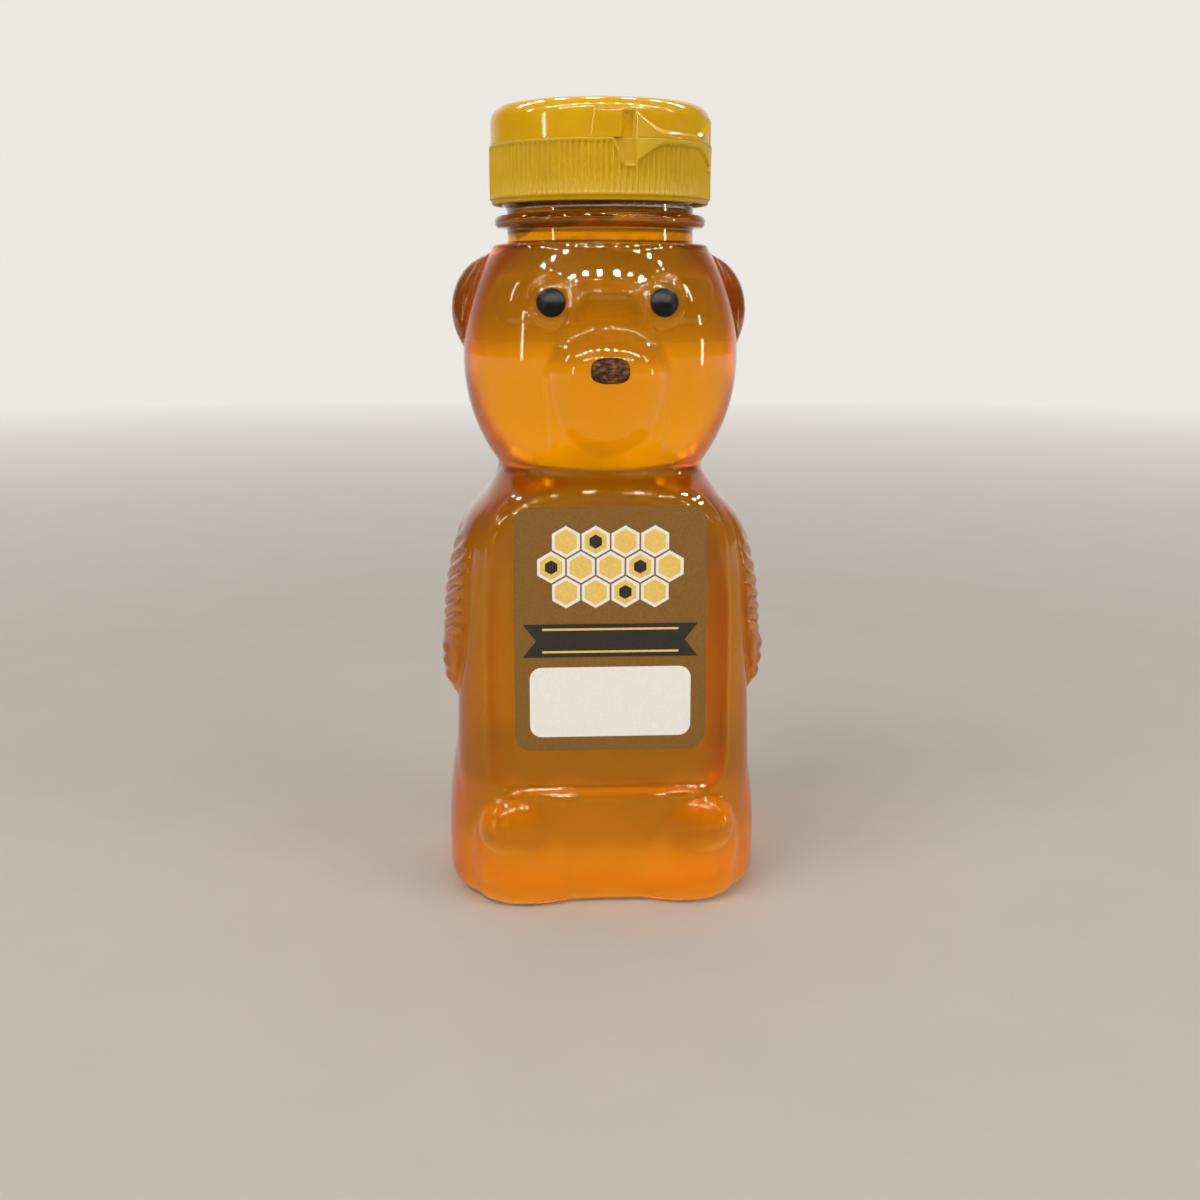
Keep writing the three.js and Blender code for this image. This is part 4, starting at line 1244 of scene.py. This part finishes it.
def pale_floor():
    """Pale floor that fades into the backdrop far from the bear."""
    shader = Shader("pale_floor", IOR=1.4, Roughness=0.7)
    grain = shader.noise(40, detail=5)
    shader.colour(shader.ramp(grain, (0.3, linear(179, 172, 163)), (0.7, linear(182, 175, 166))))
    length = shader.add("ShaderNodeVectorMath", operation="LENGTH")
    shader.link(shader.place, length, 0)
    fade = shader.spread(length.outputs["Value"], 0, 1, FADE_START * MM, FADE_END * MM)
    path = shader.add("ShaderNodeLightPath")
    seen = fade
    for kind in ("Is Diffuse Ray", "Is Shadow Ray"):
        keep = shader.add("ShaderNodeMath", {0: 1}, operation="SUBTRACT")
        shader.link(path.outputs[kind], keep, 1)
        seen = shader.math("MULTIPLY", seen, keep.outputs[0])
    glow = shader.add("ShaderNodeEmission", {"Color": (*BACKDROP, 1)})
    mix = shader.mix(seen, shader.principled, glow)
    shader.link(mix.outputs[0], shader.output, "Surface")
    return shader.material


def make_stage():
    turn = np.linspace(0, 2 * np.pi, 96, endpoint=False)
    ring = np.stack([FLOOR_RADIUS * np.cos(turn), FLOOR_RADIUS * np.sin(turn), np.full(96, -0.1)], axis=1)
    floor = make_piece("floor", ring, [list(range(96))], [pale_floor()], smooth=False)


def make_world():
    """Pale backdrop all round; mirrors also see a dimmer room ahead, and clear bodies a white ceiling."""
    world = bpy.data.worlds.new("studio")
    bpy.context.scene.world = world
    world.use_nodes = True
    nodes = Nodes(world.node_tree)
    direction = nodes.add("ShaderNodeSeparateXYZ")
    nodes.link(nodes.add("ShaderNodeTexCoord").outputs["Generated"], direction, 0)

    def background(colour, strength=1):
        return nodes.add("ShaderNodeBackground", {"Color": (*colour, 1), "Strength": strength})

    def fading(axis, *stops):
        made = background(BACKDROP)
        nodes.link(nodes.ramp(direction.outputs[axis], *stops, kind="EASE"), made, "Color")
        return made

    path = nodes.add("ShaderNodeLightPath")
    shown = background((1, 0.98, 0.95), 0.6)
    for kind, seen in (
        ("Is Glossy Ray", fading("Y", (0.5, FORE_ROOM), (0.95, BACKDROP))),
        ("Is Transmission Ray", fading("Z", (0.1, BACKDROP), (0.6, CEILING))),
        ("Is Camera Ray", background(BACKDROP)),
    ):
        shown = nodes.mix(path.outputs[kind], shown, seen)
    nodes.link(shown.outputs[0], world.node_tree.nodes["World Output"], "Surface")


# Lamps: name, azimuth, distance, height, width, tallness and power.
# Broad ones light the bear, the others only show in its gloss.
LAMPS = (
    ("key", -46, 900, 1100, 700, 500, 8.2),
    ("fill", 50, 1000, 900, 700, 500, 4.6),
    ("front", 0, 1100 + AXIS_Y, 140, 1000, 200, 1.7),
    ("strip_left", -62, 900, 210, 32, 300, 0.8),
    ("strip_right", 82, 900, 110, 45, 180, 0.6),
    ("side_left", -85, 900, 620, 40, 280, 0.9),
    ("side_right", 78, 900, 620, 40, 280, 0.9),
)
BROAD_LAMPS = ("key", "fill", "front")
CEILING_ROWS = (-900, -420, 540)


def add_lamp(name, place, width, tall, power, shape="RECTANGLE", mirrored=True, lighting=True):
    """An area lamp at a place, aimed at the bear's middle."""
    data = bpy.data.lights.new(name, "AREA")
    data.shape = shape
    data.size = width * MM
    data.size_y = tall * MM
    data.energy = power
    data.color = (1, 0.97, 0.92)
    lamp = bpy.data.objects.new(name, data)
    lamp.visible_glossy = mirrored
    lamp.visible_diffuse = lighting
    bpy.context.scene.collection.objects.link(lamp)
    lamp.location = np.asarray(place, float) * MM
    aim = Vector((0, AXIS_Y * MM, 0.08)) - lamp.location
    lamp.rotation_euler = aim.to_track_quat("-Z", "Y").to_euler()


def make_lights():
    for name, azimuth, distance, height, width, tall, power in LAMPS:
        place = around_axis(distance, height, radians(azimuth))
        broad = name in BROAD_LAMPS
        add_lamp(name, place, width, tall, power, mirrored=not broad, lighting=broad)
    for row, y in enumerate(CEILING_ROWS):
        for k, x in enumerate(range(-1000, 1001, 200)):
            add_lamp(f"ceiling_{row}_{k}", (x, y, 1050), 76, 76, 1.5, "DISK", lighting=False)


# Camera: at the photograph's height and distance, looking slightly down
CAMERA_AZIMUTH = -3.5
CAMERA_DISTANCE = 289.5
CAMERA_HEIGHT = 114.1
CAMERA_PITCH = 11.76
CAMERA_LENS = 45


def make_camera():
    data = bpy.data.cameras.new("camera")
    data.lens = CAMERA_LENS
    data.sensor_width = 36
    data.clip_start = 0.01
    camera = bpy.data.objects.new("camera", data)
    bpy.context.scene.collection.objects.link(camera)
    camera.location = around_axis(CAMERA_DISTANCE, CAMERA_HEIGHT, radians(CAMERA_AZIMUTH)) * MM
    camera.rotation_euler = (radians(90 - CAMERA_PITCH), 0, radians(CAMERA_AZIMUTH))
    bpy.context.scene.camera = camera


def main():
    scene = bpy.context.scene
    scene.view_settings.view_transform = "Standard"
    scene.cycles.max_bounces = 32
    scene.cycles.transmission_bounces = 32
    scene.cycles.glossy_bounces = 12
    make_bottle()
    make_honey()
    make_froth()
    make_face()
    make_label()
    gloss = closure_yellow("closure_gloss", GLOSS_TONES, 1.49, 0.08, 0.13)
    satin = closure_yellow("closure_satin", SATIN_TONES, 1.32, 0.36, 0.46)
    make_closure_base(satin)
    make_lid(gloss)
    make_hinge_film(gloss)
    make_gasket()
    make_stage()
    make_world()
    make_lights()
    make_camera()


main()
